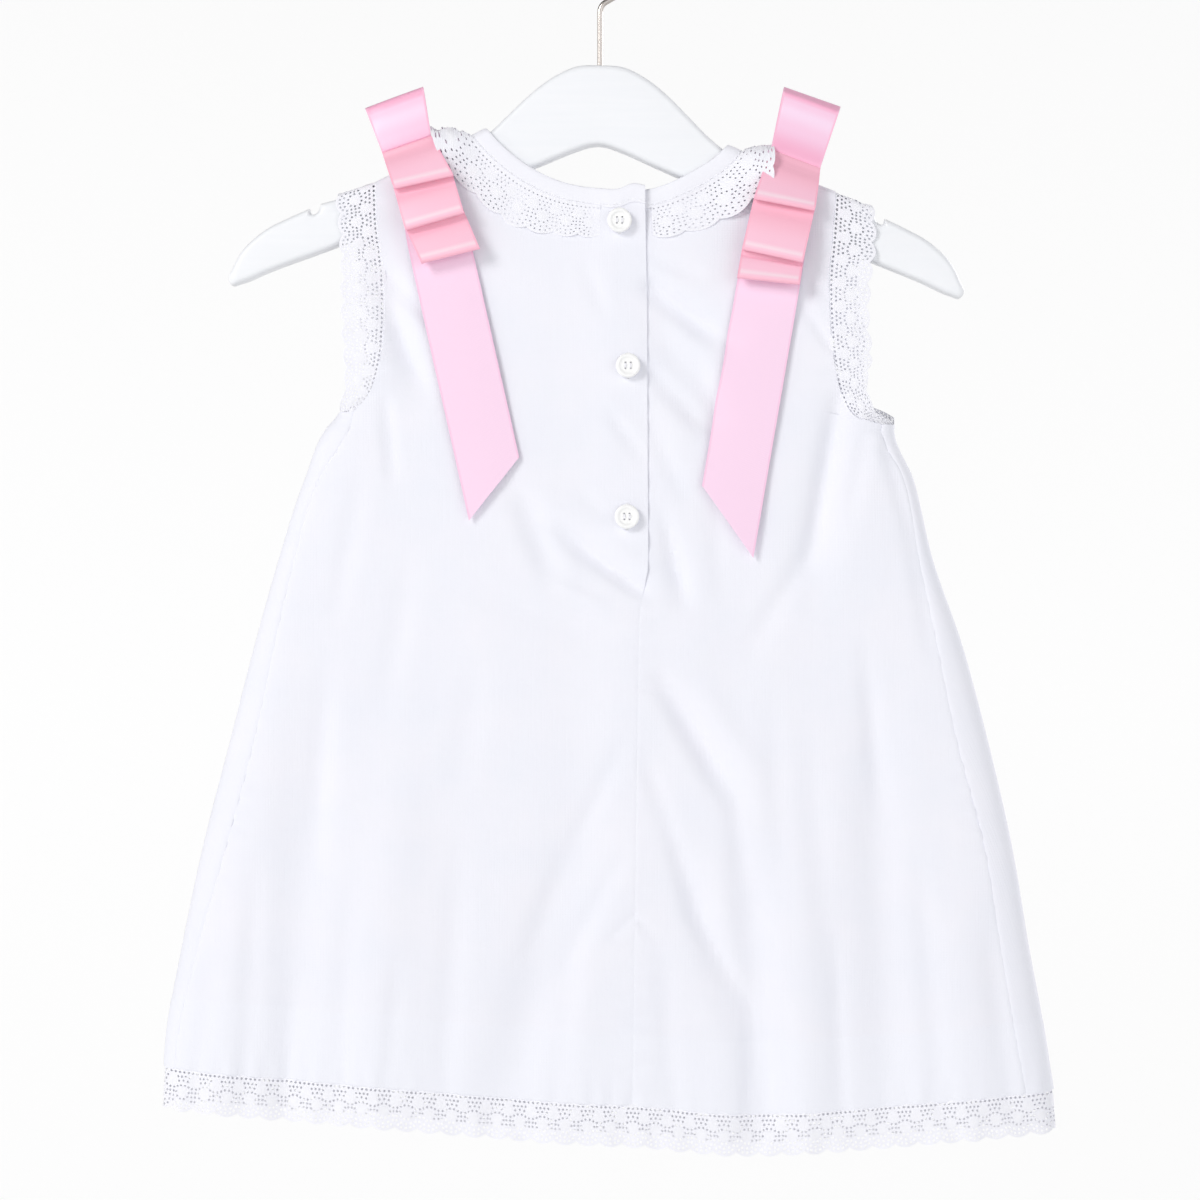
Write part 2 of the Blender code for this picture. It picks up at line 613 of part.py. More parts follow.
def back_panel(side):
    """The (x, z) grid of one back panel, from its side to the centre."""
    table = LAP_EDGE if side == "left" else UNDERLAP_EDGE
    neck = binding_edge(0)[::-1] if side == "left" else binding_edge(2)
    start = ARMHOLES[side, BACK][0]
    over = shoulder_edge(start.x, neck[0, 0], BACK_SHOULDER_COLUMNS)[:-1]
    top = np.concatenate([over, neck])
    outer = side_curve(side, BACK, hem_z(1.9 * start.x))
    centre_low_x = float(straight(table[::-1], "z", "x", -497.0))
    low_x = outer[-1, 0] + (top[:, 0] - start.x) / (top[-1, 0] - start.x) * (centre_low_x - outer[-1, 0])
    bottom = np.stack([low_x, hem_z(low_x)], axis=-1)
    outer[0], outer[-1] = top[0], bottom[0]
    shares = (outer[:, 1] - outer[0, 1]) / (outer[-1, 1] - outer[0, 1])
    centre = centre_edge(table, top[-1], bottom[-1], shares)
    return coons(top, bottom, outer, centre)


def lapping(points):
    return lap_shift(1, points, LAP_EDGE_X - LAP_RAMP, LAP_EDGE_X - 2 * LAP_RAMP)


def underlapping(points):
    return lap_shift(-1, points, LAP_EDGE_X + 2.0, LAP_EDGE_X + 2.0 + LAP_RAMP)


def make_back_panels(cotton):
    least = SHOULDER_PARTING / SHOULDER_RADIUS
    left, right = back_panel("left"), back_panel("right")
    cloth_object("back_left", [lapping(on_cloth(BACK, left[..., 0], left[..., 1], least))], CLOTH_WALL, cotton)
    cloth_object("back_right", [underlapping(on_cloth(BACK, right[..., 0], right[..., 1], least))], CLOTH_WALL, cotton)


def make_front_panel(cotton):
    neck = binding_edge(1)
    start, end = ARMHOLES["left", FRONT][0], ARMHOLES["right", FRONT][0]
    over_left = shoulder_edge(start.x, neck[0, 0], FRONT_EDGE_COLUMNS)[:-1]
    over_right = shoulder_edge(end.x, neck[-1, 0], FRONT_EDGE_COLUMNS)[-2::-1]
    top = np.concatenate([over_left, neck, over_right])
    left = side_curve("left", FRONT, hem_z(1.9 * start.x, FRONT))
    right = side_curve("right", FRONT, hem_z(1.9 * end.x, FRONT))
    low_x = left[-1, 0] + (top[:, 0] - start.x) / (end.x - start.x) * (right[-1, 0] - left[-1, 0])
    bottom = np.stack([low_x, hem_z(low_x, FRONT)], axis=-1)
    left[0], left[-1], right[0], right[-1] = top[0], bottom[0], top[-1], bottom[-1]
    grid = coons(top, bottom, left, right)
    least = SHOULDER_PARTING / SHOULDER_RADIUS
    grids = [on_cloth(FRONT, grid[..., 0], grid[..., 1], least)]
    skirt = len(SHOULDER_ROWS) + len(ARMHOLE_ROWS) - 1
    for side, curve in (("left", left[skirt:]), ("right", right[skirt:])):
        grids.append(wrapped_side(side, curve[:, 0], curve[:, 1]))
    cloth_object("front", grids, CLOTH_WALL, cotton)


def wrapped_side(side, fold, z):
    """The front panel's margin beyond the side fold, which lies on the back as far as the seam."""
    seam = section("seam_" + side, z) - SIDE_SEAM_GAP / 2 * (1 if side == "left" else -1)
    across = fold[:, None] + (fold - seam)[:, None] * np.array(WRAP_COLUMNS)[None]
    seen_x = 2 * fold[:, None] - across
    hem_share = np.array([0.0, *SKIRT_ROWS])[:, None] ** 4
    height = z[:, None] + hem_share * (hem_z(seen_x) - hem_z(fold)[:, None])
    return on_cloth(FRONT, across, height)


def neck_path(step):
    """Stations round the neckline: its three stretches, joined on the ridges of the shoulders."""
    columns = ("x", "z", "turn", "lace_turn", "lace_reach", "lace_stand")
    stations = {column: [] for column in (*columns, "layer", "run")}
    length = 0.0
    for number, (layer, rows) in enumerate(NECK_STRETCHES):
        at = even_steps(rows, step, ridge_first=number > 0, ridge_last=number < 2)[min(number, 1):]
        for column, values in read_path(rows, columns, at).items():
            stations[column].append(values)
        stations["layer"].append(np.full(len(at), layer))
        stations["run"].append(length + at)
        length += run_of(rows)[-1]
    return {column: np.concatenate(parts) for column, parts in stations.items()}


def lap_at_neck(points, stations):
    """The centre back ends of a strip round the neck, parted like the panels under them."""
    back = stations["layer"] == BACK
    first_half = np.arange(len(back)) < len(back) // 2
    points = np.where((first_half & back)[None, :, None], lapping(points), points)
    return np.where((~first_half & back)[None, :, None], underlapping(points), points)


def neck_grid(stations, distances):
    """Points on the cloth at these distances from the neckline, across the binding's width."""
    turn = np.radians(stations["turn"])
    distances = np.asarray(distances)[:, None]
    x = stations["x"] + distances * np.cos(turn)
    z = stations["z"] + distances * np.sin(turn)
    return lap_at_neck(on_cloth(stations["layer"], x, z), stations)


def make_neck_binding(finish):
    grid = neck_grid(neck_path(NECK_STEP), [0.0, BINDING_WIDTH / 2, BINDING_WIDTH])
    cloth_object("neck_binding", [grid], BINDING_WALL, finish)


def scalloped(reach, run):
    """The outer edge of the lace, drawn in between its scallops."""
    return reach - SCALLOP_DEPTH * (1 - np.abs(np.sin(math.pi * run / LACE_REPEAT)) ** 0.8)


def make_neck_lace(finish):
    """The gathered lace. It rises from its seam, and stands highest over the edges of the bows."""
    stations = neck_path(LACE_STEP)
    back = stations["layer"] == BACK
    first_half = np.arange(len(back)) < len(back) // 2
    within = np.where(first_half, stations["x"] < NECK_LACE_STARTS_X, stations["x"] > NECK_LACE_ENDS_X)
    stations = {column: values[~back | within] for column, values in stations.items()}
    sewn_at = BINDING_WIDTH + 2 * SEAM_GAP
    seam = neck_grid(stations, [sewn_at, sewn_at + 2.0])
    lift = CLOTH_WALL / 2 + LACE_CLEARANCE + LACE_WALL / 2
    seam = moved_out(seam, 1, lift)[0]
    run = stations["run"]
    turn = np.radians(stations["lace_turn"])
    reach = scalloped(stations["lace_reach"], run)
    ruffle = RUFFLE_HEIGHT * (1 + np.sin(2 * math.pi * run / RUFFLE_LENGTH))
    rows = [seam]
    backward = shoulder_round(seam[:, 0], seam[:, 2])
    upward = np.sqrt(1 - backward**2)
    for out, stand, wave in ((0.35, 0.85, 0.35), (1.0, 1.0, 1.0)):
        x = seam[:, 0] + out * reach * np.cos(turn)
        z = seam[:, 2] + out * reach * np.sin(turn)
        row = lap_at_neck(on_cloth(stations["layer"], x, z)[None], stations)[0]
        height = lift + stand * stations["lace_stand"] + wave * ruffle
        row[:, 1] = stations["layer"] * (np.maximum(np.abs(row[:, 1]), np.abs(seam[:, 1]) - lift) + height * backward)
        row[:, 2] += height * upward
        rows.append(row)
    cloth_object("neck_lace", [np.stack(rows)], LACE_WALL, finish)


def make_armhole_lace(side, finish):
    """The lace round one armhole, from the underarm up the back, over the hanger and down the front."""
    columns = ("x", "z", "lace_turn", "lace_reach")
    parts = []
    for layer in (BACK, FRONT):
        rows = ARMHOLES[side, layer]
        at = even_steps(rows, LACE_STEP, ridge_first=True)
        found = read_path(rows, columns, at)
        run = at if layer == FRONT else -at
        parts.append(np.stack([*found.values(), run, np.full(len(at), layer)]))
    x, z, turn, reach, run, layer = np.concatenate([parts[0][:, ::-1], parts[1][:, 1:]], axis=1)
    reach = np.minimum(reach, scalloped(reach, run) + 0.1 * (LACE_WIDTH - reach))
    turn = np.radians(turn)
    start = 3 * SEAM_GAP
    rows = []
    for distance in (np.full(len(x), start), start + (reach - start) / 2, reach):
        rows.append(on_cloth(layer, x + distance * np.cos(turn), z + distance * np.sin(turn)))
    cloth_object("armhole_lace_" + side, [np.stack(rows)], LACE_WALL, finish)


def make_hem_lace(finish):
    """The lace along the hem: one length on the back panels, one on the front from seam to seam."""
    for layer, name in ((BACK, "hem_lace_back"), (FRONT, "hem_lace_front")):
        width = section("fold_right", HEM_MIDDLE_Z) - section("fold_left", HEM_MIDDLE_Z)
        shares = np.linspace(0, 1, round(width / LACE_STEP) + 1)
        run = shares * width
        rows = []
        for drop in (np.zeros(len(run)), scalloped(HEM_LACE_WIDTH, run)):
            height = np.full(len(run), HEM_MIDDLE_Z)
            for _ in range(3):
                left, right = (section("fold_" + side, height) for side in ("left", "right"))
                seam_left, seam_right = (section("seam_" + side, height) for side in ("left", "right"))
                if layer == FRONT:
                    seam_left, seam_right = 2 * left - seam_left, 2 * right - seam_right
                seam_left, seam_right = seam_left + SIDE_SEAM_GAP / 2, seam_right - SIDE_SEAM_GAP / 2
                across = seam_left + shares * (seam_right - seam_left)
                seen_x = np.clip(across, left, right) * 2 - across
                side = np.where(seen_x == across, layer, BACK)
                edge = np.where(side == FRONT, hem_z(seen_x, FRONT), hem_z(seen_x))
                height = edge - SEAM_GAP - drop
            rows.append(on_cloth(layer, across, height))
        cloth_object(name, [np.stack(rows)], LACE_WALL, finish)


def tail_lift():
    return CLOTH_WALL / 2 + RIBBON_CLEARANCE + RIBBON_WALL / 2


def make_tails(side, finish):
    """One length of ribbon over the shoulder, with a slanting cut at each end."""
    ridge_x = TAIL_RIDGE_X[side]
    slope = float(straight(SHOULDER, "x", "z", ridge_x + 1) - straight(SHOULDER, "x", "z", ridge_x))
    columns = np.linspace(-0.5, 0.5, 5) * RIBBON_WIDTH
    rows = []
    for tail in TAILS[side]:
        lean = math.radians(tail.lean)
        cut = (tail.longest - tail.shortest) * (0.5 - tail.long_side * columns / RIBBON_WIDTH)
        longest = tail.longest - cut
        even = np.linspace(RIDGE_STEPS[-1] + 3.0, tail.longest, round(tail.longest / TAIL_STEP))
        length = longest[None] * np.array([0.0, *RIDGE_STEPS, *even])[:, None] / tail.longest
        gathered = 1 - TAIL_GATHER * smoothstep(TAIL_GATHER_LENGTH, 0.0, length)
        crossing = ridge_x + columns * gathered / (math.cos(lean) + slope * math.sin(lean))
        x = crossing + length * math.sin(lean)
        z = straight(SHOULDER, "x", "z", crossing) - length * math.cos(lean)
        grid = on_cloth(tail.layer, x, z)
        rows.append(grid if tail.layer == FRONT else grid[:0:-1])
    grid = np.concatenate([rows[0], rows[1]])
    outward = -np.sign(grid_normals(grid)[0, 0, 1])
    cloth_object(f"bow_{side}_tails", [moved_out(grid, outward, tail_lift())], RIBBON_WALL, finish)


def loop_rest_y(x, z):
    """Where the outer face of the tails lies, and where the loops go on above the shoulder."""
    above = -below_shoulder(x, z)
    outer = section("half_depth", z) - fold_depth(BACK, x, z) + tail_lift() + RIBBON_WALL / 2
    return -outer * through(LOOP_LEAN, "above", "share", above)


def make_loop(name, upper, lower, ring, finish):
    """A flattened ring of ribbon between two joints of a bow."""
    length = math.hypot(upper.x - lower.x, upper.z - lower.z)
    rows = []
    for point in ring:
        share = (point.start + point.share * length) / length
        inside = min(max(share, 0.0), 1.0)
        slant = math.radians(upper.slant + inside * (lower.slant - upper.slant))
        width = upper.width + inside * (lower.width - upper.width)
        across = np.array([-0.5, 0.0, 0.5]) * width
        x = upper.x + share * (lower.x - upper.x) + across * math.cos(slant)
        z = upper.z + share * (lower.z - upper.z) + across * math.sin(slant)
        rows.append(np.stack([x, loop_rest_y(x, z) - point.height, z], axis=-1))
    cloth_object(name, [np.stack(rows)], RIBBON_WALL, finish, round_rows=True)


def make_bow(side, finish):
    joints = BOWS[side]
    make_tails(side, finish)
    make_loop(f"bow_{side}_standing_loop", joints[0], joints[1], STANDING_RING, finish)
    for number in range(1, len(joints) - 1):
        name = f"bow_{side}_loop_{number}"
        make_loop(name, joints[number], joints[number + 1], STEPPED_RING, finish)


ButtonPlace = namedtuple("ButtonPlace", "name x z")
BUTTONS = (
    ButtonPlace("button_top", 8.2, -127.0),
    ButtonPlace("button_middle", 11.8, -188.1),
    ButtonPlace("button_bottom", 11.3, -251.5),
)

# The button's profile: radius and height above its back, as shares of its radius and thickness.
ProfilePoint = namedtuple("ProfilePoint", "radius height")
BUTTON_PROFILE = (
    ProfilePoint(0.0, 0.55),
    ProfilePoint(0.55, 0.55),
    ProfilePoint(0.68, 0.72),
    ProfilePoint(0.80, 1.0),
    ProfilePoint(0.92, 0.94),
    ProfilePoint(1.0, 0.62),
    ProfilePoint(0.95, 0.25),
    ProfilePoint(0.78, 0.0),
    ProfilePoint(0.0, 0.0),
)


def turned_mesh(name, profile, radius, height, segments):
    made = bmesh.new()
    ends = [made.verts.new((0, 0, profile[i].height * height * MM)) for i in (0, -1)]
    rings = []
    for point in profile[1:-1]:
        ring = []
        for k in range(segments):
            angle = 2 * math.pi * k / segments
            place = (math.cos(angle) * point.radius * radius, math.sin(angle) * point.radius * radius)
            ring.append(made.verts.new((place[0] * MM, place[1] * MM, point.height * height * MM)))
        rings.append(ring)
    for k in range(segments):
        after = (k + 1) % segments
        made.faces.new((ends[0], rings[0][k], rings[0][after]))
        made.faces.new((ends[1], rings[-1][after], rings[-1][k]))
        for upper, lower in zip(rings, rings[1:]):
            made.faces.new((upper[k], lower[k], lower[after], upper[after]))
    bmesh.ops.recalc_face_normals(made, faces=made.faces)
    mesh = bpy.data.meshes.new(name)
    made.to_mesh(mesh)
    made.free()
    return mesh


def cylinder_mesh(name, radius, depth, segments, places=((0.0, 0.0),)):
    made = bmesh.new()
    for x, y in places:
        spot = Matrix.Translation((x * MM, y * MM, 0.0))
        bmesh.ops.create_cone(
            made, cap_ends=True, segments=segments, radius1=radius * MM, radius2=radius * MM,
            depth=depth * MM, matrix=spot,
        )
    mesh = bpy.data.meshes.new(name)
    made.to_mesh(mesh)
    made.free()
    return mesh


def add_cutter(name, mesh):
    cutter = bpy.data.objects.new(name, mesh)
    bpy.context.scene.collection.objects.link(cutter)
    cutter.hide_render = True
    cutter.display_type = "WIRE"
    return cutter


def cut(target, cutter):
    boolean = target.modifiers.new("holes", "BOOLEAN")
    boolean.operation = "DIFFERENCE"
    boolean.object = cutter


def lapped_back(x, z):
    return lapping(on_cloth(BACK, x, z))


def make_buttons(finish):
    disc = turned_mesh("button", BUTTON_PROFILE, BUTTON_RADIUS, BUTTON_THICKNESS, BUTTON_SEGMENTS)
    half = BUTTON_HOLE_PITCH / 2
    spots = [(i * half, j * half) for i in (-1, 1) for j in (-1, 1)]
    holes = cylinder_mesh("button_holes", BUTTON_HOLE_RADIUS, 4 * BUTTON_THICKNESS, 6, spots)
    for place in BUTTONS:
        step = 2.0
        centre = Vector(lapped_back(place.x, place.z))
        across = Vector(lapped_back(place.x + step, place.z)) - Vector(lapped_back(place.x - step, place.z))
        up = Vector(lapped_back(place.x, place.z + step)) - Vector(lapped_back(place.x, place.z - step))
        outward = across.cross(up).normalized()
        across = up.cross(outward).normalized()
        turn = Matrix((across, outward.cross(across), outward)).transposed().to_4x4()
        seat = centre + outward * (CLOTH_WALL / 2 + SEAM_GAP)
        spot = Matrix.Translation(seat * MM) @ turn
        button = add_object(place.name, disc.copy(), finish)
        button.matrix_world = spot
        cutter = add_cutter(place.name + "_cutter", holes)
        cutter.matrix_world = spot
        cut(button, cutter)


def hanger_outline():
    """The closed outline of the wooden body, anticlockwise, in its own frame."""
    top_x = np.concatenate([np.linspace(0, 56, 12), np.linspace(66, NOTCH_X - NOTCH_WIDTH / 2, 4)])
    half = [(x, float(through(HANGER_TOP, "x", "z", x))) for x in top_x]
    notch_z = (HANGER_TOP[-1].z + HANGER_END[0].z) / 2
    half.append((NOTCH_X, notch_z - NOTCH_DEPTH))
    half += [(point.x, point.z) for point in HANGER_END]
    half += [(point.x, point.z) for point in HANGER_UNDER]
    mirrored = [(-x, z) for x, z in half[-2:0:-1]]
    return half + mirrored


def make_hanger(wood):
    made = bmesh.new()
    half = HANGER_THICKNESS / 2
    outline = [made.verts.new((x * MM, -half * MM, z * MM)) for x, z in hanger_outline()]
    face = made.faces.new(outline)
    extruded = bmesh.ops.extrude_face_region(made, geom=[face])
    moved = [item for item in extruded["geom"] if isinstance(item, bmesh.types.BMVert)]
    bmesh.ops.translate(made, verts=moved, vec=(0, HANGER_THICKNESS * MM, 0))
    bmesh.ops.recalc_face_normals(made, faces=made.faces)
    rims = [edge for edge in made.edges if abs(edge.verts[0].co.y - edge.verts[1].co.y) < 1e-9]
    bmesh.ops.bevel(
        made, geom=rims, offset=HANGER_EDGE_ROUND * MM, segments=2, profile=0.5, affect="EDGES",
        clamp_overlap=True,
    )
    mesh = bpy.data.meshes.new("hanger_body")
    made.to_mesh(mesh)
    made.free()
    body = add_object("hanger_body", mesh, wood)
    top = Matrix.Translation((0, 0, HANGER_TOP_Z * MM))
    body.matrix_world = top @ Matrix.Rotation(HANGER_TILT, 4, "Y")
    depth = 2 * (HOOK_ROOT_DEPTH + SEAM_GAP)
    cutter = add_cutter("hook_bore", cylinder_mesh("hook_bore", HOOK_BORE_RADIUS, depth, 10))
    cutter.matrix_world = top
    cut(body, cutter)


def hook_path():
    """The wire from its root in the wood, up, out to the right and round over the top."""
    centre_z = HOOK_WIRE_RADIUS - HOOK_RADIUS
    leave_x = HOOK_RADIUS * math.cos(HOOK_LEAVES_AT)
    leave_z = centre_z + HOOK_RADIUS * math.sin(HOOK_LEAVES_AT)
    heading = HOOK_LEAVES_AT + math.pi / 2
    swing = math.pi / 2 - heading
    kink_x = HOOK_KINK_RADIUS * (1 - math.cos(swing))
    straight_run = (leave_x - kink_x) / math.cos(heading)
    kink_z = leave_z - straight_run * math.sin(heading) - HOOK_KINK_RADIUS * math.sin(swing)
    root_z = HANGER_TOP_Z - HOOK_ROOT_DEPTH
    path = [(0.0, z) for z in np.linspace(root_z, kink_z, 5)]
    for angle in np.linspace(0, swing, 5)[1:]:
        shift = HOOK_KINK_RADIUS * (1 - math.cos(angle))
        path.append((shift, kink_z + HOOK_KINK_RADIUS * math.sin(angle)))
    for angle in np.linspace(HOOK_LEAVES_AT, HOOK_ENDS_AT, 25):
        path.append((HOOK_RADIUS * math.cos(angle), centre_z + HOOK_RADIUS * math.sin(angle)))
    return path


def make_hook(steel):
    curve = bpy.data.curves.new("hanger_hook", "CURVE")
    curve.dimensions = "3D"
    curve.bevel_depth = HOOK_WIRE_RADIUS * MM
    curve.bevel_resolution = 2
    curve.use_fill_caps = True
    spline = curve.splines.new("POLY")
    path = hook_path()
    spline.points.add(len(path) - 1)
    for point, (x, z) in zip(spline.points, path):
        point.co = (x * MM, 0.0, z * MM, 1.0)
    curve.materials.append(steel)
    hook = bpy.data.objects.new("hanger_hook", curve)
    bpy.context.scene.collection.objects.link(hook)


def main():
    clear_scene()
    cotton = material("white_cotton", (0.90, 0.90, 0.96), 0.85)
    binding = material("white_bias_binding", (0.92, 0.92, 0.97), 0.85)
    lace = material("white_cotton_lace", (0.88, 0.88, 0.92), 0.9)
    satin = material("pink_satin_ribbon", (0.96, 0.62, 0.74), 0.4)
    shell = material("white_button", (0.93, 0.92, 0.90), 0.25)
    wood = material("white_painted_wood", (0.88, 0.89, 0.90), 0.45)
    steel = material("bright_steel_wire", (0.62, 0.58, 0.56), 0.3, 1.0)
    make_back_panels(cotton)
    make_front_panel(cotton)
    make_neck_binding(binding)
    make_neck_lace(lace)
    make_armhole_lace("left", lace)
    make_armhole_lace("right", lace)
    make_hem_lace(lace)
    make_bow("left", satin)
    make_bow("right", satin)
    make_buttons(shell)
    make_hanger(wood)
    make_hook(steel)


main()
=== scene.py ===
"""The looks of a toddler dress on a child's hanger.

White cotton poplin buttoned at the centre back, cotton lace at the neck, armholes and hem, satin bows
on the shoulders. Every sheet lies on the middle surface of its solid, which on_cloth() gives. Sizes
are in millimetres and become metres when a mesh is made.
"""

import math
from collections import namedtuple

import bpy
import numpy as np
from mathutils import Matrix, Vector, geometry


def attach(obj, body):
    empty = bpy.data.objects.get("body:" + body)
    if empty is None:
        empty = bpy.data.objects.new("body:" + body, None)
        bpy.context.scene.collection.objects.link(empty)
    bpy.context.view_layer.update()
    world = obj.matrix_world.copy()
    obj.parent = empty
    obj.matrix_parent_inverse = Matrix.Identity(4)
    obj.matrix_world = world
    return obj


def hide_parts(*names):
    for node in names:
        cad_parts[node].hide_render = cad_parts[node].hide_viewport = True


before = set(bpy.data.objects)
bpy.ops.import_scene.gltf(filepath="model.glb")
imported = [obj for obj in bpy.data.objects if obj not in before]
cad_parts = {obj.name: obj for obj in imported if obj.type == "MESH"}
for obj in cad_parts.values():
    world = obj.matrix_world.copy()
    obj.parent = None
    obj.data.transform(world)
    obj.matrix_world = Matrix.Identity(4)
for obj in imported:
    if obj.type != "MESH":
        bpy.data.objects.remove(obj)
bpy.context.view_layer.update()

MM = 0.001
BACK, FRONT = -1, 1

# ---------------------------------------------------------------------------------------------
# The garment's sizes: the same tables that its solids are worked out from
# ---------------------------------------------------------------------------------------------

# Half the thickness of each sheet.
CLOTH_HALF = 0.22
LACE_HALF = 0.09
RIBBON_HALF = 0.17

# Gaps between sewn pieces, how far pieces are lifted off the cloth, and how deep a seam is turned in.
SIDE_SEAM_GAP = 0.02
SEAM_GAP = 0.12
LACE_LIFT = 0.95
LACE_LIFT_ON_CLOTH = 0.33
TAIL_LIFT = 1.95
SIDE_SEAM_TURN = 0.3
CENTRE_SEAM_TURN = 0.14
SEAM_TURN_WIDTH = 1.5

# How squarely the side folds and the shoulders' ridges turn, and how far the cloth parts on a ridge.
SIDE_SQUARENESS = 24.0
SHOULDER_RADIUS = 5.0
SHOULDER_SQUARENESS = 3.0
SHOULDER_PARTING = 0.1

BINDING_WIDTH = 8.0
LACE_WIDTH = 18.0
HEM_LACE_WIDTH = 17.5
LACE_REPEAT = 9.9
SCALLOP_DEPTH = 1.8
RUFFLE_HEIGHT = 0.9
RUFFLE_LENGTH = 14.0
NECK_LACE_FULLNESS = 1.2
NECK_LACE_STARTS_X = 1.3
NECK_LACE_ENDS_X = 20.6
RIBBON_WIDTH = 26.0

# The placket: how far its two edges are moved apart in depth, and where they lie.
LAP_SHIFT = 0.36
LAP_SHIFT_AT_NECK = 1.0
LAP_RAMP = 13.0
LAP_EDGE_X = 19.0
UNDERLAP_EDGE_X = 6.0
NECK_LAP_FROM_TO_Z = (-138.0, -122.0)
PLACKET_END_Z = -275.5
PLACKET_STEP = 4.0

UNDERARM_Z = -212.5
FRONT_HEM_SHORTER = 1.5
HEM_MIDDLE_Z = -492.0
HEM_DEPTH = 30.0


def table(name, columns, *rows):
    """A short table whose columns have names."""
    row = namedtuple(name, columns)
    return tuple(row(*values) for values in rows)


SECTIONS = table(
    "Section", "z fold_left seam_left seam_right fold_right half_depth",
    (-520.0, -186.5, -182.0, 181.0, 193.5, 13.2),
    (-500.0, -184.8, -180.2, 179.3, 191.9, 13.0),
    (-467.0, -182.6, -176.6, 173.5, 187.3, 12.6),
    (-433.0, -176.4, -168.8, 168.0, 181.0, 12.0),
    (-391.0, -167.6, -157.1, 161.3, 173.9, 11.2),
    (-345.0, -155.8, -145.0, 149.5, 163.4, 10.4),
    (-303.0, -145.0, -136.1, 141.0, 152.0, 9.6),
    (-270.0, -135.7, -128.5, 134.2, 140.5, 9.0),
    (-236.0, -124.7, -118.4, 127.9, 132.3, 8.3),
    (-212.5, -114.3, -104.6, 118.6, 124.2, 7.8),
    (-207.5, -110.0, -103.4, 120.3, 125.7, 7.73),
    (-200.0, -119.0, -109.0, 124.0, 129.0, 7.6),
    (-180.0, -134.0, -124.0, 138.0, 143.0, 7.2),
    (-150.0, -152.0, -142.0, 154.0, 160.0, 6.6),
    (-60.0, -165.0, -155.0, 167.0, 173.0, 6.3),
)
SHOULDER = table(
    "ShoulderPoint", "x z",
    (-135.0, -125.0), (-112.0, -116.0), (-94.2, -109.9), (-47.5, -88.0), (0.0, -56.0),
    (53.3, -95.0), (99.1, -114.4), (116.0, -120.6), (135.0, -128.0),
)
# turn is the way across the binding, in degrees, and lace_turn the way across the lace.
NECK = table(
    "NeckPoint", "layer x z turn lace_turn lace_reach lace_stand",
    (BACK, 19.0, -112.1, 270, 270, 12.6, 0.6),
    (BACK, 14.2, -111.2, 270, 270, 12.6, 0.7),
    (BACK, 8.0, -113.4, 270, 270, 12.6, 0.8),
    (BACK, -1.0, -113.2, 269, 268, 12.8, 0.8),
    (BACK, -16.8, -110.2, 256, 262, 15.0, 0.8),
    (BACK, -27.0, -105.6, 245, 250, 17.6, 0.8),
    (BACK, -36.0, -99.4, 233, 237, 16.4, 0.9),
    (BACK, -42.5, -93.6, 221, 216, 16.0, 2.0),
    (BACK, -47.5, -88.0, 205, 190, 16.8, 5.6),
    (FRONT, -43.5, -95.0, 218, 218, 13.0, 3.0),
    (FRONT, -35.0, -106.0, 232, 232, 16.5, 1.5),
    (FRONT, -20.0, -117.5, 252, 252, 16.5, 1.0),
    (FRONT, 2.0, -123.5, 271, 271, 16.5, 1.0),
    (FRONT, 25.0, -119.5, 289, 289, 16.5, 1.0),
    (FRONT, 40.0, -110.5, 306, 306, 16.5, 1.5),
    (FRONT, 49.5, -101.0, 324, 324, 13.0, 3.0),
    (BACK, 53.3, -95.0, 337, 352, 11.5, 3.5),
    (BACK, 51.4, -97.2, 330, 350, 15.6, 7.0),
    (BACK, 48.6, -100.0, 322, 342, 18.6, 6.8),
    (BACK, 42.0, -104.4, 310, 320, 18.0, 2.6),
    (BACK, 33.6, -108.9, 296, 300, 16.0, 1.1),
    (BACK, 21.0, -113.4, 275, 272, 13.0, 0.8),
    (BACK, 9.0, -113.6, 270, 270, 12.6, 0.8),
)
NECK_STRETCHES = ((BACK, NECK[:9]), (FRONT, NECK[8:17]), (BACK, NECK[16:]))
ARM_COLUMNS = "x z lace_turn lace_reach"
ARMHOLES = {
    ("left", BACK): table(
        "ArmPoint", ARM_COLUMNS,
        (-94.2, -109.9, 197, 17.8), (-93.6, -129.0, 187, 16.0), (-91.2, -148.0, 180, 17.6),
        (-90.6, -168.0, 179, 18.0), (-92.8, -188.0, 173, 14.8), (-96.9, -199.5, 169, 10.6),
        (-103.4, -207.5, 184, 6.6),
    ),
    ("left", FRONT): table(
        "ArmPoint", ARM_COLUMNS,
        (-94.2, -109.9, 197, 17.8), (-89.0, -129.0, 184, 16.5), (-86.0, -150.0, 178, 16.5),
        (-87.0, -170.0, 166, 16.0), (-91.5, -188.0, 140, 12.0), (-97.5, -201.5, 112, 7.5),
        (-110.0, -207.5, 30, 1.4),
    ),
    ("right", BACK): table(
        "ArmPoint", ARM_COLUMNS,
        (99.1, -114.4, 340, 17.0), (97.6, -134.0, 350, 18.4), (96.2, -150.0, 358, 17.8),
        (96.6, -168.0, 360, 16.4), (98.2, -186.0, 364, 16.0), (101.6, -200.0, 382, 11.5),
        (107.0, -209.0, 382, 8.4), (118.6, -212.5, 364, 5.2),
    ),
    ("right", FRONT): table(
        "ArmPoint", ARM_COLUMNS,
        (99.1, -114.4, 340, 17.0), (94.5, -134.0, 352, 17.0), (92.0, -154.0, 360, 17.0),
        (95.6, -174.0, 366, 17.0), (101.6, -192.0, 380, 11.0), (111.0, -206.8, 415, 5.5),
        (124.2, -212.5, 446, 3.2),
    ),
}
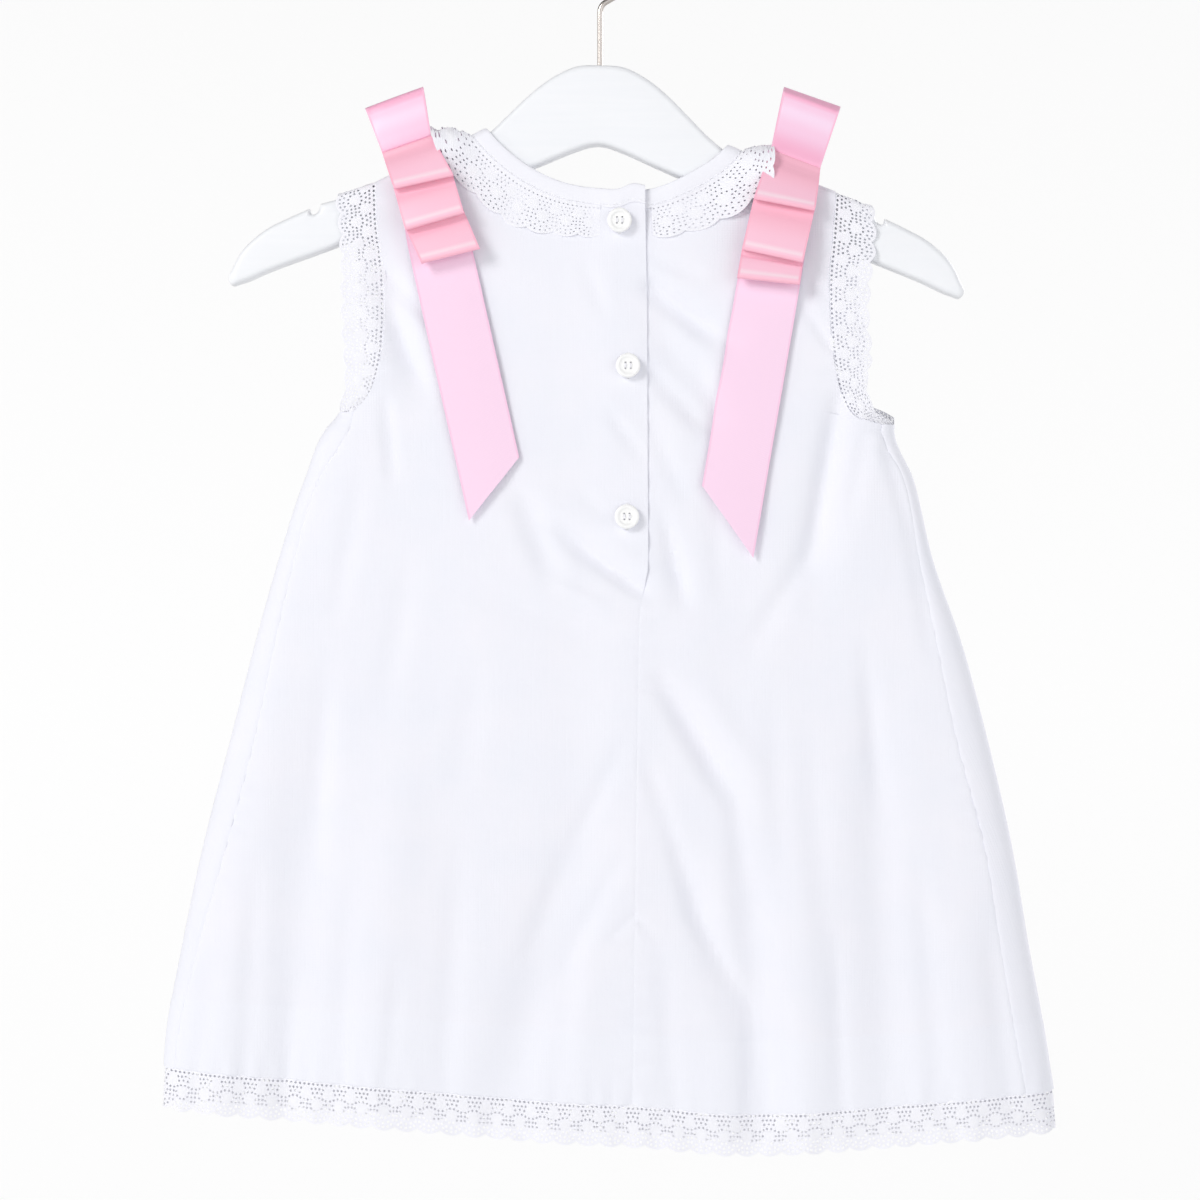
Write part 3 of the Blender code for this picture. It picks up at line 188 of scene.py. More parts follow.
HEM = table(
    "HemPoint", "x z",
    (-190.0, -481.6), (-153.0, -485.3), (-84.0, -490.9), (-15.5, -496.6), (14.0, -498.0),
    (60.0, -501.6), (102.0, -499.6), (158.0, -494.9), (196.0, -491.8),
)
LAP_EDGE = table(
    "EdgePoint", "z x",
    (-100.0, 19.0), (-120.6, 19.0), (-160.0, 19.7), (-266.0, 20.2), (-274.0, 20.0), (-280.0, 18.8),
    (-288.0, 17.2), (-298.0, 16.3), (-330.0, 15.8), (-510.0, 13.4),
)
UNDERLAP_EDGE = table(
    "EdgePoint", "z x",
    (-100.0, 9.0), (-121.9, 9.0), (-160.0, UNDERLAP_EDGE_X), (-266.0, UNDERLAP_EDGE_X), (-271.0, 9.0),
    (-275.5, 17.5), (-280.0, 18.79), (-288.0, 17.19), (-298.0, 16.29), (-330.0, 15.79), (-510.0, 13.41),
)

# Folds that the solids have too. reach_0 and reach_1 say how much of its depth a fold keeps at its ends.
FOLD_COLUMNS = "x0 z0 x1 z1 depth half_width reach_0 reach_1"
FOLDS = {
    BACK: table(
        "Fold", FOLD_COLUMNS,
        (-93.0, -139.0, -76.0, -208.0, 2.2, 7.0, 0.3, 0.0),
        (-35.0, -240.0, -17.0, -282.0, 2.2, 6.0, 0.2, 0.0),
        (-20.0, -256.0, 20.0, -283.0, 2.6, 6.0, 0.1, 0.2),
        (21.0, -158.0, 62.0, -182.0, 1.8, 8.0, 0.2, 0.0),
        (21.0, -166.0, 52.0, -218.0, 2.2, 8.0, 0.2, 0.0),
        (28.0, -258.0, 36.0, -294.0, 2.0, 6.0, 0.2, 0.0),
        (103.0, -192.0, 86.0, -294.0, 2.8, 9.0, 0.2, 0.0),
        (28.0, -321.0, 57.0, -370.0, 3.4, 7.2, 0.1, 0.3),
        (61.0, -376.0, 67.0, -505.0, 3.2, 9.0, 0.2, 0.8),
        (34.0, -386.0, 56.0, -460.0, 2.6, 7.5, 0.0, 0.4),
        (115.0, -316.0, 121.0, -500.0, 2.6, 11.0, 0.0, 0.7),
        (0.0, -366.0, -42.0, -500.0, 2.6, 14.0, 0.0, 0.8),
        (-120.0, -318.0, -132.0, -500.0, 2.6, 13.0, 0.0, 0.9),
        (-84.0, -340.0, -92.0, -500.0, -2.0, 15.0, 0.0, 0.9),
        (86.0, -380.0, 88.0, -510.0, -2.2, 11.0, 0.0, 0.9),
        (150.0, -400.0, 156.0, -510.0, -1.8, 12.0, 0.0, 0.9),
    ),
    FRONT: table(
        "Fold", FOLD_COLUMNS,
        (-96.0, -196.0, -84.0, -262.0, 2.2, 9.0, 0.2, 0.0),
        (104.0, -196.0, 92.0, -262.0, 2.2, 9.0, 0.2, 0.0),
        (-30.0, -250.0, -44.0, -500.0, 3.2, 14.0, 0.0, 0.9),
        (38.0, -270.0, 50.0, -500.0, 3.4, 13.0, 0.0, 0.9),
        (-108.0, -290.0, -126.0, -500.0, 3.0, 14.0, 0.0, 0.9),
        (112.0, -300.0, 132.0, -500.0, 2.8, 13.0, 0.0, 0.9),
        (2.0, -320.0, 4.0, -510.0, -2.4, 15.0, 0.0, 0.9),
        (-78.0, -330.0, -86.0, -510.0, -2.4, 14.0, 0.0, 0.9),
        (80.0, -330.0, 92.0, -510.0, -2.2, 14.0, 0.0, 0.9),
    ),
}

# Creases too fine for the solids: sharper, shallower, and of every length.
CREASES = {
    BACK: table(
        "Crease", FOLD_COLUMNS,
        (-93.0, -146.0, -63.0, -178.0, 1.2, 3.6, 0.5, 0.2),
        (-88.0, -166.0, -70.0, -206.0, 1.1, 4.0, 0.4, 0.0),
        (-90.0, -204.0, -86.5, -240.0, 1.2, 3.4, 0.6, 0.0),
        (-60.0, -186.0, -50.0, -226.0, 0.6, 4.5, 0.0, 0.0),
        (-36.0, -243.0, -8.0, -262.0, 1.1, 4.6, 0.1, 0.6),
        (-8.0, -265.5, 19.0, -284.5, 1.7, 2.6, 0.3, 0.4),
        (-24.0, -276.0, 6.0, -292.0, -0.9, 3.2, 0.0, 0.2),
        (-56.0, -284.0, 2.0, -301.0, 0.9, 6.5, 0.0, 0.2),
        (2.0, -206.0, 18.0, -226.0, 0.9, 3.4, 0.0, 0.5),
        (-12.0, -238.0, 8.0, -256.0, 0.6, 3.0, 0.0, 0.3),
        (-8.0, -142.0, 4.0, -170.0, 0.7, 4.0, 0.0, 0.0),
        (22.5, -155.5, 51.0, -178.0, 2.5, 4.8, 0.9, 0.0),
        (22.0, -143.0, 44.0, -150.0, 0.9, 3.4, 0.5, 0.0),
        (40.0, -182.0, 56.0, -236.0, 1.0, 4.5, 0.3, 0.0),
        (22.5, -191.5, 48.0, -219.0, 2.0, 4.8, 0.7, 0.0),
        (23.0, -216.0, 38.0, -248.0, 0.9, 4.2, 0.4, 0.0),
        (27.0, -252.0, 37.0, -291.0, 1.5, 3.0, 0.6, 0.0),
        (46.0, -236.0, 52.0, -290.0, 0.7, 4.5, 0.0, 0.0),
        (86.0, -164.0, 98.0, -181.0, 1.1, 2.9, 0.2, 0.4),
        (90.0, -146.0, 84.0, -172.0, 0.8, 3.6, 0.3, 0.0),
        (100.0, -204.0, 88.0, -270.0, 1.7, 4.2, 0.6, 0.4),
        (89.0, -264.0, 60.0, -312.0, 1.3, 5.5, 0.4, 0.0),
        (112.0, -216.0, 104.0, -256.0, 1.0, 4.2, 0.7, 0.0),
        (118.0, -214.0, 131.0, -262.0, 1.1, 3.2, 0.7, 0.3),
        (130.0, -256.0, 141.0, -318.0, 1.0, 4.0, 0.4, 0.0),
        (16.5, -322.0, 26.0, -325.0, 0.8, 1.6, 0.5, 0.6),
        (26.5, -321.0, 58.0, -374.0, 1.7, 4.4, 0.8, 0.1),
        (44.0, -324.0, 70.0, -366.0, -0.6, 5.0, 0.2, 0.0),
        (18.0, -350.0, 33.0, -392.0, 1.0, 4.0, 0.1, 0.4),
        (56.0, -368.0, 60.0, -404.0, 1.2, 4.2, 0.5, 0.2),
        (69.0, -430.0, 71.0, -502.0, 0.9, 4.6, 0.2, 0.9),
        (63.4, -440.0, 62.8, -500.0, 1.0, 2.8, 0.1, 1.0),
        (30.0, -384.0, 42.0, -424.0, 1.5, 4.0, 0.3, 0.4),
        (40.0, -418.0, 62.0, -458.0, 1.6, 3.6, 0.4, 0.4),
        (12.0, -342.0, -12.0, -392.0, 0.9, 4.6, 0.1, 0.3),
        (-14.0, -394.0, -32.0, -440.0, 0.8, 4.6, 0.3, 0.2),
        (12.0, -388.0, -18.0, -446.0, 1.0, 4.4, 0.1, 0.2),
        (3.0, -430.0, 14.0, -418.5, 0.8, 1.9, 0.2, 0.5),
        (15.0, -418.5, 24.0, -430.0, 0.7, 1.9, 0.5, 0.2),
        (72.0, -318.0, 76.0, -420.0, 0.9, 5.5, 0.0, 0.0),
        (88.0, -336.0, 94.0, -448.0, 0.7, 6.0, 0.0, 0.0),
        (111.0, -304.0, 118.0, -380.0, 1.4, 4.6, 0.2, 0.0),
        (132.0, -380.0, 143.0, -500.0, 1.0, 5.0, 0.0, 0.8),
        (162.0, -420.0, 172.0, -500.0, 0.9, 4.5, 0.0, 0.8),
        (98.0, -420.0, 101.0, -500.0, 0.8, 4.2, 0.0, 0.8),
        (26.0, -424.0, 30.0, -500.0, 0.9, 4.6, 0.0, 0.9),
        (76.0, -440.0, 79.0, -500.0, 0.7, 3.6, 0.0, 0.9),
        (-10.0, -420.0, -18.0, -500.0, 0.8, 5.4, 0.0, 0.8),
        (-58.0, -380.0, -66.0, -500.0, 1.0, 6.0, 0.0, 0.8),
        (-84.0, -430.0, -89.0, -500.0, 0.8, 4.5, 0.0, 0.9),
        (-104.0, -400.0, -110.0, -500.0, 0.8, 5.5, 0.0, 0.8),
        (-128.0, -440.0, -133.0, -500.0, 0.7, 4.4, 0.0, 0.9),
        (-144.0, -392.0, -149.0, -500.0, 1.2, 5.2, 0.1, 0.6),
        (-162.0, -430.0, -170.0, -500.0, 0.8, 4.6, 0.0, 0.8),
        (-50.0, -306.0, -60.0, -372.0, 0.7, 7.0, 0.0, 0.0),
        (-78.0, -262.0, -92.0, -340.0, 0.8, 6.5, 0.0, 0.0),
        (-114.0, -310.0, -120.0, -402.0, 1.1, 5.6, 0.1, 0.1),
        (-100.0, -232.0, -112.0, -300.0, 0.8, 5.4, 0.2, 0.0),
    ),
    FRONT: table(
        "Crease", FOLD_COLUMNS,
        (-70.0, -146.0, -40.0, -190.0, 1.2, 4.4, 0.4, 0.0),
        (76.0, -148.0, 44.0, -194.0, 1.2, 4.4, 0.4, 0.0),
        (-20.0, -146.0, -8.0, -186.0, 0.9, 4.2, 0.3, 0.0),
        (26.0, -146.0, 16.0, -182.0, 0.8, 4.0, 0.3, 0.0),
        (-90.0, -214.0, -68.0, -268.0, 1.3, 4.4, 0.6, 0.0),
        (98.0, -214.0, 78.0, -272.0, 1.3, 4.4, 0.6, 0.0),
        (-60.0, -214.0, -50.0, -262.0, 0.7, 5.0, 0.0, 0.0),
        (58.0, -210.0, 52.0, -256.0, 0.7, 5.0, 0.0, 0.0),
        (-34.0, -250.0, -42.0, -372.0, 1.2, 5.4, 0.1, 0.0),
        (44.0, -268.0, 46.0, -380.0, 1.3, 5.2, 0.1, 0.0),
        (-44.0, -372.0, -46.0, -500.0, 1.2, 5.4, 0.1, 0.9),
        (50.0, -384.0, 52.0, -500.0, 1.2, 5.0, 0.1, 0.9),
        (-62.0, -320.0, -68.0, -500.0, 1.0, 5.6, 0.0, 0.8),
        (-12.0, -370.0, -17.0, -500.0, 1.0, 5.2, 0.0, 0.8),
        (23.0, -392.0, 25.0, -500.0, 0.9, 4.6, 0.0, 0.8),
        (66.0, -330.0, 73.0, -500.0, 1.0, 5.4, 0.0, 0.8),
        (90.0, -296.0, 99.0, -392.0, 0.9, 5.6, 0.0, 0.0),
        (104.0, -414.0, 111.0, -500.0, 0.9, 4.6, 0.0, 0.8),
        (122.0, -318.0, 129.0, -410.0, 0.9, 5.4, 0.0, 0.0),
        (147.0, -390.0, 156.0, -500.0, 1.0, 5.2, 0.0, 0.8),
        (-84.0, -290.0, -93.0, -384.0, 0.9, 5.8, 0.0, 0.0),
        (-96.0, -400.0, -103.0, -500.0, 0.8, 4.6, 0.0, 0.8),
        (-118.0, -312.0, -124.0, -404.0, 1.0, 5.2, 0.0, 0.0),
        (-143.0, -376.0, -151.0, -500.0, 1.0, 5.4, 0.0, 0.8),
        (-163.0, -430.0, -168.0, -500.0, 0.7, 4.4, 0.0, 0.8),
    ),
}

# The joints of each bow, from its top down, and how the ribbon slants and spreads there.
BOW_COLUMNS = "x z slant width"
BOWS = {
    "left": table(
        "BowJoint", BOW_COLUMNS,
        (-86.9, -74.1, 20.0, 26.2), (-81.3, -94.7, 19.0, 21.8), (-74.3, -110.1, 12.5, 25.4),
        (-69.5, -126.6, 16.2, 25.6), (-63.1, -141.0, 14.4, 25.2),
    ),
    "right": table(
        "BowJoint", BOW_COLUMNS,
        (89.8, -73.4, -19.3, 25.4), (82.2, -100.8, -21.0, 22.2), (77.4, -119.4, -10.8, 26.0),
        (72.4, -140.8, -12.4, 26.0), (70.6, -151.4, -6.2, 26.2),
    ),
}
TAIL_RIDGE_X = {"left": -75.6, "right": 79.0}
TAIL_COLUMNS = "layer lean longest shortest long_side"
TAILS = {
    "left": table("Tail", TAIL_COLUMNS, (BACK, 12.7, 150.0, 134.5, -1), (FRONT, 9.0, 138.0, 124.0, 1)),
    "right": table("Tail", TAIL_COLUMNS, (BACK, -9.8, 160.0, 140.0, 1), (FRONT, -8.0, 142.0, 127.0, -1)),
}
TAIL_GATHER = 0.2
TAIL_GATHER_LENGTH = 34.0

# How much of the cloth's depth a loop keeps above the shoulder, where it leans in over the ridge.
LOOP_LEAN = table("LoopLean", "above share",
                  (-60.0, 1.0), (-9.0, 1.0), (0.0, 0.82), (9.0, 0.50), (32.0, -0.12))

# A loop's ring: millimetres past the joint above, share of the way to the joint below, and height.
RING_COLUMNS = "start share height"
STEPPED_RING = table(
    "RingPoint", RING_COLUMNS,
    (0.7, 0.0, 0.85), (0.0, 0.35, 1.35), (0.0, 0.75, 2.50), (0.6, 1.0, 3.40), (1.9, 1.0, 4.40),
    (1.1, 1.0, 5.55), (0.0, 0.78, 4.75), (0.0, 0.45, 3.75), (3.4, 0.0, 2.30), (0.7, 0.0, 2.15),
)
STANDING_RING = {
    "left": table(
        "RingPoint", RING_COLUMNS,
        (-0.7, 1.0, 0.85), (0.0, 0.70, 0.10), (0.0, 0.35, -0.60), (2.6, 0.0, -0.60), (0.7, 0.0, 1.00),
        (0.7, 0.0, 2.60), (2.4, 0.0, 4.10), (0.0, 0.35, 3.70), (0.0, 0.70, 2.80), (-0.7, 1.0, 2.15),
    ),
    "right": table(
        "RingPoint", RING_COLUMNS,
        (-0.7, 1.0, 0.85), (0.0, 0.70, 0.10), (0.0, 0.35, -0.80), (2.4, 0.0, -1.10), (0.6, 0.0, -0.60),
        (0.7, 0.0, 0.60), (2.0, 0.0, 2.60), (3.3, 0.0, 4.30), (5.2, 0.0, 4.35), (0.0, 0.45, 3.50),
        (0.0, 0.70, 2.80), (-0.7, 1.0, 2.15),
    ),
}
BUTTONS = table(
    "ButtonPlace", "name x z",
    ("button_top", 8.2, -127.0), ("button_middle", 11.8, -188.1), ("button_bottom", 11.3, -251.5),
)

HANGER_THICKNESS = 10.0
HANGER_ROUNDING = 2.6
HANGER_TILT = math.radians(1.0)
HANGER_TOP_Z = -61.0
NOTCH_X, NOTCH_WIDTH, NOTCH_DEPTH = 119.0, 4.4, 3.4
HANGER_TOP = table(
    "OutlinePoint", "x z",
    (0.0, 0.0), (10.0, -0.8), (19.5, -5.3), (29.0, -12.6), (38.0, -21.4), (46.0, -29.3), (55.0, -36.4),
    (66.0, -41.6), (88.0, -50.4), (111.3, -59.0), (NOTCH_X - NOTCH_WIDTH / 2, -60.6),
)
HANGER_END = table(
    "OutlinePoint", "x z",
    (NOTCH_X + NOTCH_WIDTH / 2, -62.6), (131.0, -67.2), (138.0, -70.8), (144.6, -75.8),
    (149.8, -81.4), (153.2, -88.0), (155.0, -93.6), (153.6, -95.4),
)
HANGER_UNDER = table(
    "OutlinePoint", "x z",
    (150.0, -94.6), (137.8, -89.4), (110.0, -78.6), (70.0, -61.8), (24.0, -42.5), (8.4, -35.9),
    (3.6, -34.3), (0.0, -33.8),
)
HOOK_WIRE_RADIUS = 1.2
HOOK_RADIUS = 17.0
HOOK_KINK_RADIUS = 5.0
HOOK_LEAVES_AT, HOOK_ENDS_AT = math.radians(-60.0), math.radians(208.0)
HOOK_ROOT_DEPTH = 14.0

# How finely the sheets are gridded.
CLOTH_STEP = {BACK: 1.5, FRONT: 2.0}
LACE_STATION = 1.0
EDGE_STEPS = (0.0, 0.3, 0.7, 1.3)
RIDGE_STEPS = (0.06, 0.15, 0.35, 0.7, 1.3, 2.1, 3.2, 4.6)

# ---------------------------------------------------------------------------------------------
# Curves and surfaces of the garment
# ---------------------------------------------------------------------------------------------


def through(known, wanted, at):
    """The smooth curve through some values, read at one or many places."""
    known, wanted = np.asarray(known, float), np.asarray(wanted, float)
    slope = np.gradient(wanted, known)
    at = np.clip(np.asarray(at, float), known[0], known[-1])
    low = np.clip(np.searchsorted(known, at) - 1, 0, len(known) - 2)
    step = known[low + 1] - known[low]
    t = (at - known[low]) / step
    start = (1 + 2 * t) * (1 - t) ** 2 * wanted[low] + t * (1 - t) ** 2 * step * slope[low]
    end = t * t * (3 - 2 * t) * wanted[low + 1] + t * t * (t - 1) * step * slope[low + 1]
    return start + end


def column(rows, name):
    return np.array([getattr(row, name) for row in rows], float)


def straight(rows, key, value, at):
    return np.interp(at, column(rows, key), column(rows, value))


def smoothstep(low, high, at):
    t = np.clip((np.asarray(at, float) - low) / (high - low), 0.0, 1.0)
    return t * t * (3 - 2 * t)


def section(name, z):
    return through(column(SECTIONS, "z"), column(SECTIONS, name), z)


def below_shoulder(x, z):
    """How far a point lies under the shoulder line, square to it."""
    step = 0.5
    rise = straight(SHOULDER, "x", "z", x + step) - straight(SHOULDER, "x", "z", x - step)
    return (straight(SHOULDER, "x", "z", x) - z) / np.sqrt(1 + (rise / (2 * step)) ** 2)


def shoulder_round(x, z, least=0.0):
    t = np.clip(below_shoulder(x, z) / SHOULDER_RADIUS, 0.0, 1.0)
    return np.maximum((1 - (1 - t) ** SHOULDER_SQUARENESS) ** (1 / SHOULDER_SQUARENESS), least)


# The cut through a fold: how far the cloth rises beside it, and how soon it falls away.
FOLD_RISE, FOLD_FALL = 0.55, 0.8


def pressed_in(folds, x, z):
    """How far these folds press the cloth inwards at a place: each a trough with a low rise on both sides."""
    total = np.zeros(np.broadcast(x, z).shape)
    for fold in folds:
        along_x, along_z = fold.x1 - fold.x0, fold.z1 - fold.z0
        length = math.hypot(along_x, along_z)
        t = ((x - fold.x0) * along_x + (z - fold.z0) * along_z) / length**2
        off = ((x - fold.x0) * along_z - (z - fold.z0) * along_x) / length / fold.half_width
        inside = np.clip(t, 0.0, 1.0)
        swell = np.sin(math.pi * inside) + (1 - inside) ** 2 * fold.reach_0 + inside**2 * fold.reach_1
        beyond = (t - inside) * length / fold.half_width
        profile = (1 - FOLD_RISE * off**2) * np.exp(-FOLD_FALL * off**2) * np.exp(-(beyond**2))
        total = total + fold.depth * np.minimum(swell, 1.0) * profile
    return total


# Soft waves all over the cloth: their lengths, how much longer they are upright, and their height on the
# yoke and on the slack skirt.
WAVE_COUNT, WAVE_SEED = 14, 5
LONGEST_WAVE, SHORTEST_WAVE = 74.0, 20.0
WAVE_STRETCH = 3.2
WAVE_HEIGHT, SKIRT_WAVE_HEIGHT = 0.12, 0.42
YOKE_Z, SKIRT_Z = -110.0, -330.0
CREASES_FADE_BELOW_SHOULDER = 12.0


def soft_waves(x, z):
    """An uneven field of long soft waves, between about -1 and 1."""
    random = np.random.default_rng(WAVE_SEED)
    total = np.zeros(np.broadcast(x, z).shape)
    for _ in range(WAVE_COUNT):
        length = SHORTEST_WAVE * (LONGEST_WAVE / SHORTEST_WAVE) ** random.random()
        heading = random.uniform(0, math.pi)
        phase = random.uniform(0, 2 * math.pi)
        across = (x * math.cos(heading) + z * math.sin(heading) / WAVE_STRETCH) / length
        total = total + (length / LONGEST_WAVE) ** 0.7 * np.sin(2 * math.pi * across + phase)
    return total / math.sqrt(WAVE_COUNT)


def on_cloth(layer, across, z, least_round=0.0, creased=True):
    """Points on the middle of the cloth, as x, y, z. Past a side fold, across runs on round it."""
    across, z = np.broadcast_arrays(np.asarray(across, float), np.asarray(z, float))
    left, right = section("fold_left", z), section("fold_right", z)
    x = np.where(across < left, 2 * left - across, np.where(across > right, 2 * right - across, across))
    layer = np.broadcast_to(layer, x.shape)
    side = np.where((across < left) | (across > right), -layer, layer)
    share = np.clip(np.abs(x - (left + right) / 2) / ((right - left) / 2), 0.0, 1.0)
    closing = np.sqrt(1 - share**SIDE_SQUARENESS)
    pressed = np.where(side == BACK, pressed_in(FOLDS[BACK], x, z), pressed_in(FOLDS[FRONT], x, z))
    if creased:
        fine = np.where(side == BACK, pressed_in(CREASES[BACK], x, z), pressed_in(CREASES[FRONT], x, z))
        height = WAVE_HEIGHT + (SKIRT_WAVE_HEIGHT - WAVE_HEIGHT) * smoothstep(YOKE_Z, SKIRT_Z, z)
        fine = fine + height * soft_waves(x + 40 * side, z)
        pressed = pressed + fine * smoothstep(0.0, CREASES_FADE_BELOW_SHOULDER, below_shoulder(x, z))
    depth = (section("half_depth", z) - pressed * closing) * closing * shoulder_round(x, z, least_round)
    return np.stack([x, side * depth, z], axis=-1)


def grid_normals(points):
    down, along = np.gradient(points, axis=0), np.gradient(points, axis=1)
    normals = np.cross(along, down)
    return normals / np.maximum(np.linalg.norm(normals, axis=-1, keepdims=True), 1e-9)


def away_from_wearer(points):
    """The unit normals of a grid, turned away from the inside of the garment."""
    normals = grid_normals(points)
    outward = np.sign((normals[..., 1] * points[..., 1]).sum())
    return normals * outward


def run_along(points):
    """Distances along a line of points, from its first one."""
    return np.concatenate([[0.0], np.cumsum(np.linalg.norm(np.diff(points, axis=0), axis=1))])


def run_of(rows):
    return run_along(np.column_stack([column(rows, "x"), column(rows, "z")]))


def read_path(rows, names, at):
    return {name: through(run_of(rows), column(rows, name), at) for name in names}


def even_steps(rows, step, ridge_first=False, ridge_last=False, fine_first=False, fine_last=False):
    """Distances along a table of points, closer at a ridge of the shoulder and at a finished end."""
    length = run_of(rows)[-1]
    near = [*RIDGE_STEPS] * ridge_first + [*EDGE_STEPS[1:]] * fine_first
    far = [length - s for s in RIDGE_STEPS] * ridge_last + [length - s for s in EDGE_STEPS[1:]] * fine_last
    first, last = max(near, default=0.0), min(far, default=length)
    even = np.linspace(first, last, max(2, round((last - first) / step) + 1))
    return np.unique(np.round([0.0, length, *near, *far, *even], 4))


def hem_z(x, layer=BACK):
    """The height of the hem's fold, a little higher in the middle of the front."""
    hem = through(column(HEM, "x"), column(HEM, "z"), x)
    if layer == BACK:
        return hem
    sides = smoothstep(HEM[0].x + 8.0, HEM[0].x + 60.0, x) * smoothstep(HEM[-1].x - 8.0, HEM[-1].x - 60.0, x)
    return hem + FRONT_HEM_SHORTER * sides


def coons(top, bottom, left, right):
    """A grid between four curves of (x, z) that meet at its corners."""
    s = ((top[:, 0] - top[0, 0]) / (top[-1, 0] - top[0, 0]))[None, :, None]
    t = ((left[:, 1] - left[0, 1]) / (left[-1, 1] - left[0, 1]))[:, None, None]
    between_ends = (1 - t) * top[None] + t * bottom[None] + (1 - s) * left[:, None] + s * right[:, None]
    upper_corners = (1 - s) * top[0] + s * top[-1]
    lower_corners = (1 - s) * bottom[0] + s * bottom[-1]
    return between_ends - (1 - t) * upper_corners - t * lower_corners


def skirt_heights(layer, hem_height):
    """Heights down the skirt, from the underarm to the hem's fold."""
    low = hem_height + max(EDGE_STEPS)
    even = np.linspace(UNDERARM_Z, low, round((UNDERARM_Z - low) / CLOTH_STEP[layer]) + 1)[1:]
    return np.array([*even, *[hem_height + near for near in EDGE_STEPS[-2::-1]]])


def seam_rise(side, z):
    """How far the cloth is drawn up beside an armhole that ends higher than the other one."""
    return (ARMHOLES[side, BACK][-1].z - UNDERARM_Z) * np.exp(-(UNDERARM_Z - z) / 9.0)


def side_curve(side, layer, hem_height):
    """A panel's edge down the armhole, then along the seam (on the back) or the fold (at the front)."""
    rows = ARMHOLES[side, layer]
    upper = read_path(rows, ("x", "z"), even_steps(rows, CLOTH_STEP[layer], ridge_first=True))
    skirt_z = skirt_heights(layer, hem_height)
    skirt_z = skirt_z + seam_rise(side, skirt_z)
    name = ("seam_" if layer == BACK else "fold_") + side
    clearance = 0.0 if layer == FRONT else SIDE_SEAM_GAP / 2 * (1 if side == "left" else -1)
    x = np.concatenate([upper["x"], section(name, skirt_z) + clearance])
    return np.stack([x, np.concatenate([upper["z"], skirt_z])], axis=-1), len(upper["x"]) - 1


def binding_edge(stretch):
    layer, rows = NECK_STRETCHES[stretch]
    ends = {"fine_first": stretch == 0, "fine_last": stretch == 2}
    at = even_steps(rows, CLOTH_STEP[layer], ridge_first=stretch > 0, ridge_last=stretch < 2, **ends)
    found = read_path(rows, ("x", "z", "turn"), at)
    turn = np.radians(found["turn"])
    reach = BINDING_WIDTH - 1.0
    return np.stack([found["x"] + reach * np.cos(turn), found["z"] + reach * np.sin(turn)], axis=-1)


def shoulder_edge(layer, start_x, end_x):
    """A panel's edge along the shoulder line, closer at the armhole."""
    length, way = abs(end_x - start_x), math.copysign(1.0, end_x - start_x)
    even = np.linspace(max(EDGE_STEPS), length, round(length / CLOTH_STEP[layer]) + 1)
    x = start_x + way * np.array([*EDGE_STEPS[:-1], *even])
    return np.stack([x, straight(SHOULDER, "x", "z", x)], axis=-1)


def centre_edge(rows, top, bottom, shares):
    """A back panel's edge at the centre, with a point where the placket ends."""
    even = top[1] + shares * (bottom[1] - top[1])
    at = int(np.argmin(np.abs(even - PLACKET_END_Z)))
    known = (0.0, shares[at], shares[at + 2], 1.0)
    z = np.interp(shares, known, (top[1], PLACKET_END_Z, PLACKET_END_Z - PLACKET_STEP, bottom[1]))
    edge = np.stack([straight(rows[::-1], "z", "x", z), z], axis=-1)
    edge[0], edge[-1] = top, bottom
    return edge


def lap_shift(layer_sign, points, edge_near, edge_far):
    """Moves the centre back edges apart, so that the lapping one lies over the other."""
    x, z = points[..., 0], points[..., 2]
    near = smoothstep(edge_far, edge_near, x)
    fade = smoothstep(PLACKET_END_Z - 12.0, PLACKET_END_Z - 1.0, z)
    parted = LAP_SHIFT + (LAP_SHIFT_AT_NECK - LAP_SHIFT) * smoothstep(*NECK_LAP_FROM_TO_Z, z)
    shifted = points.copy()
    shifted[..., 1] -= layer_sign * parted * near * fade
    return shifted


def lapping(points):
    return lap_shift(1, points, LAP_EDGE_X - LAP_RAMP, LAP_EDGE_X - 2 * LAP_RAMP)


def underlapping(points):
    return lap_shift(-1, points, LAP_EDGE_X + 2.0, LAP_EDGE_X + 2.0 + LAP_RAMP)


# ---------------------------------------------------------------------------------------------
# Making meshes
# ---------------------------------------------------------------------------------------------


def grid_faces(rows, columns, round_rows=False, round_columns=False):
    """The quads of a grid of points, row after row. A round one runs on from its last to its first."""
    starts = np.arange(rows - (not round_rows)), np.arange(columns - (not round_columns))
    i, j = np.meshgrid(*starts, indexing="ij")
    far, beside = (i + 1) % rows * columns, (j + 1) % columns
    return np.stack([i * columns + j, i * columns + beside, far + beside, far + j], axis=-1).reshape(-1, 4)


def rings(centres, first, second, radii, sides):
    """Rings of points round these centres, from two directions at each that are square to each other."""
    turns = np.arange(sides) * 2 * math.pi / sides
    spokes = np.cos(turns)[:, None] * first[..., None, :] + np.sin(turns)[:, None] * second[..., None, :]
    return centres[..., None, :] + spokes * np.asarray(radii)[..., None, None]


def end_caps(rows, sides):
    """The faces that close a tube's first and last ring."""
    return [list(range(sides))[::-1], list(range((rows - 1) * sides, rows * sides))]


def repeated(faces, size, count):
    """The faces of one piece, for so many copies of it that follow each other in the points."""
    return [[first * size + k for k in face] for first in range(count) for face in faces]


def joined(grids):
    """The points and faces of several grids, (points, threads) each, made one where they meet."""
    points = np.concatenate([grid.reshape(-1, 3) for grid, _ in grids])
    threads = np.concatenate([thread.reshape(-1, 3) for _, thread in grids])
    sizes = [grid.shape[0] * grid.shape[1] for grid, _ in grids]
    starts = np.cumsum([0, *sizes])
    faces = [grid_faces(*grid.shape[:2]) + start for (grid, _), start in zip(grids, starts)]
    return welded(points, np.concatenate(faces), threads)


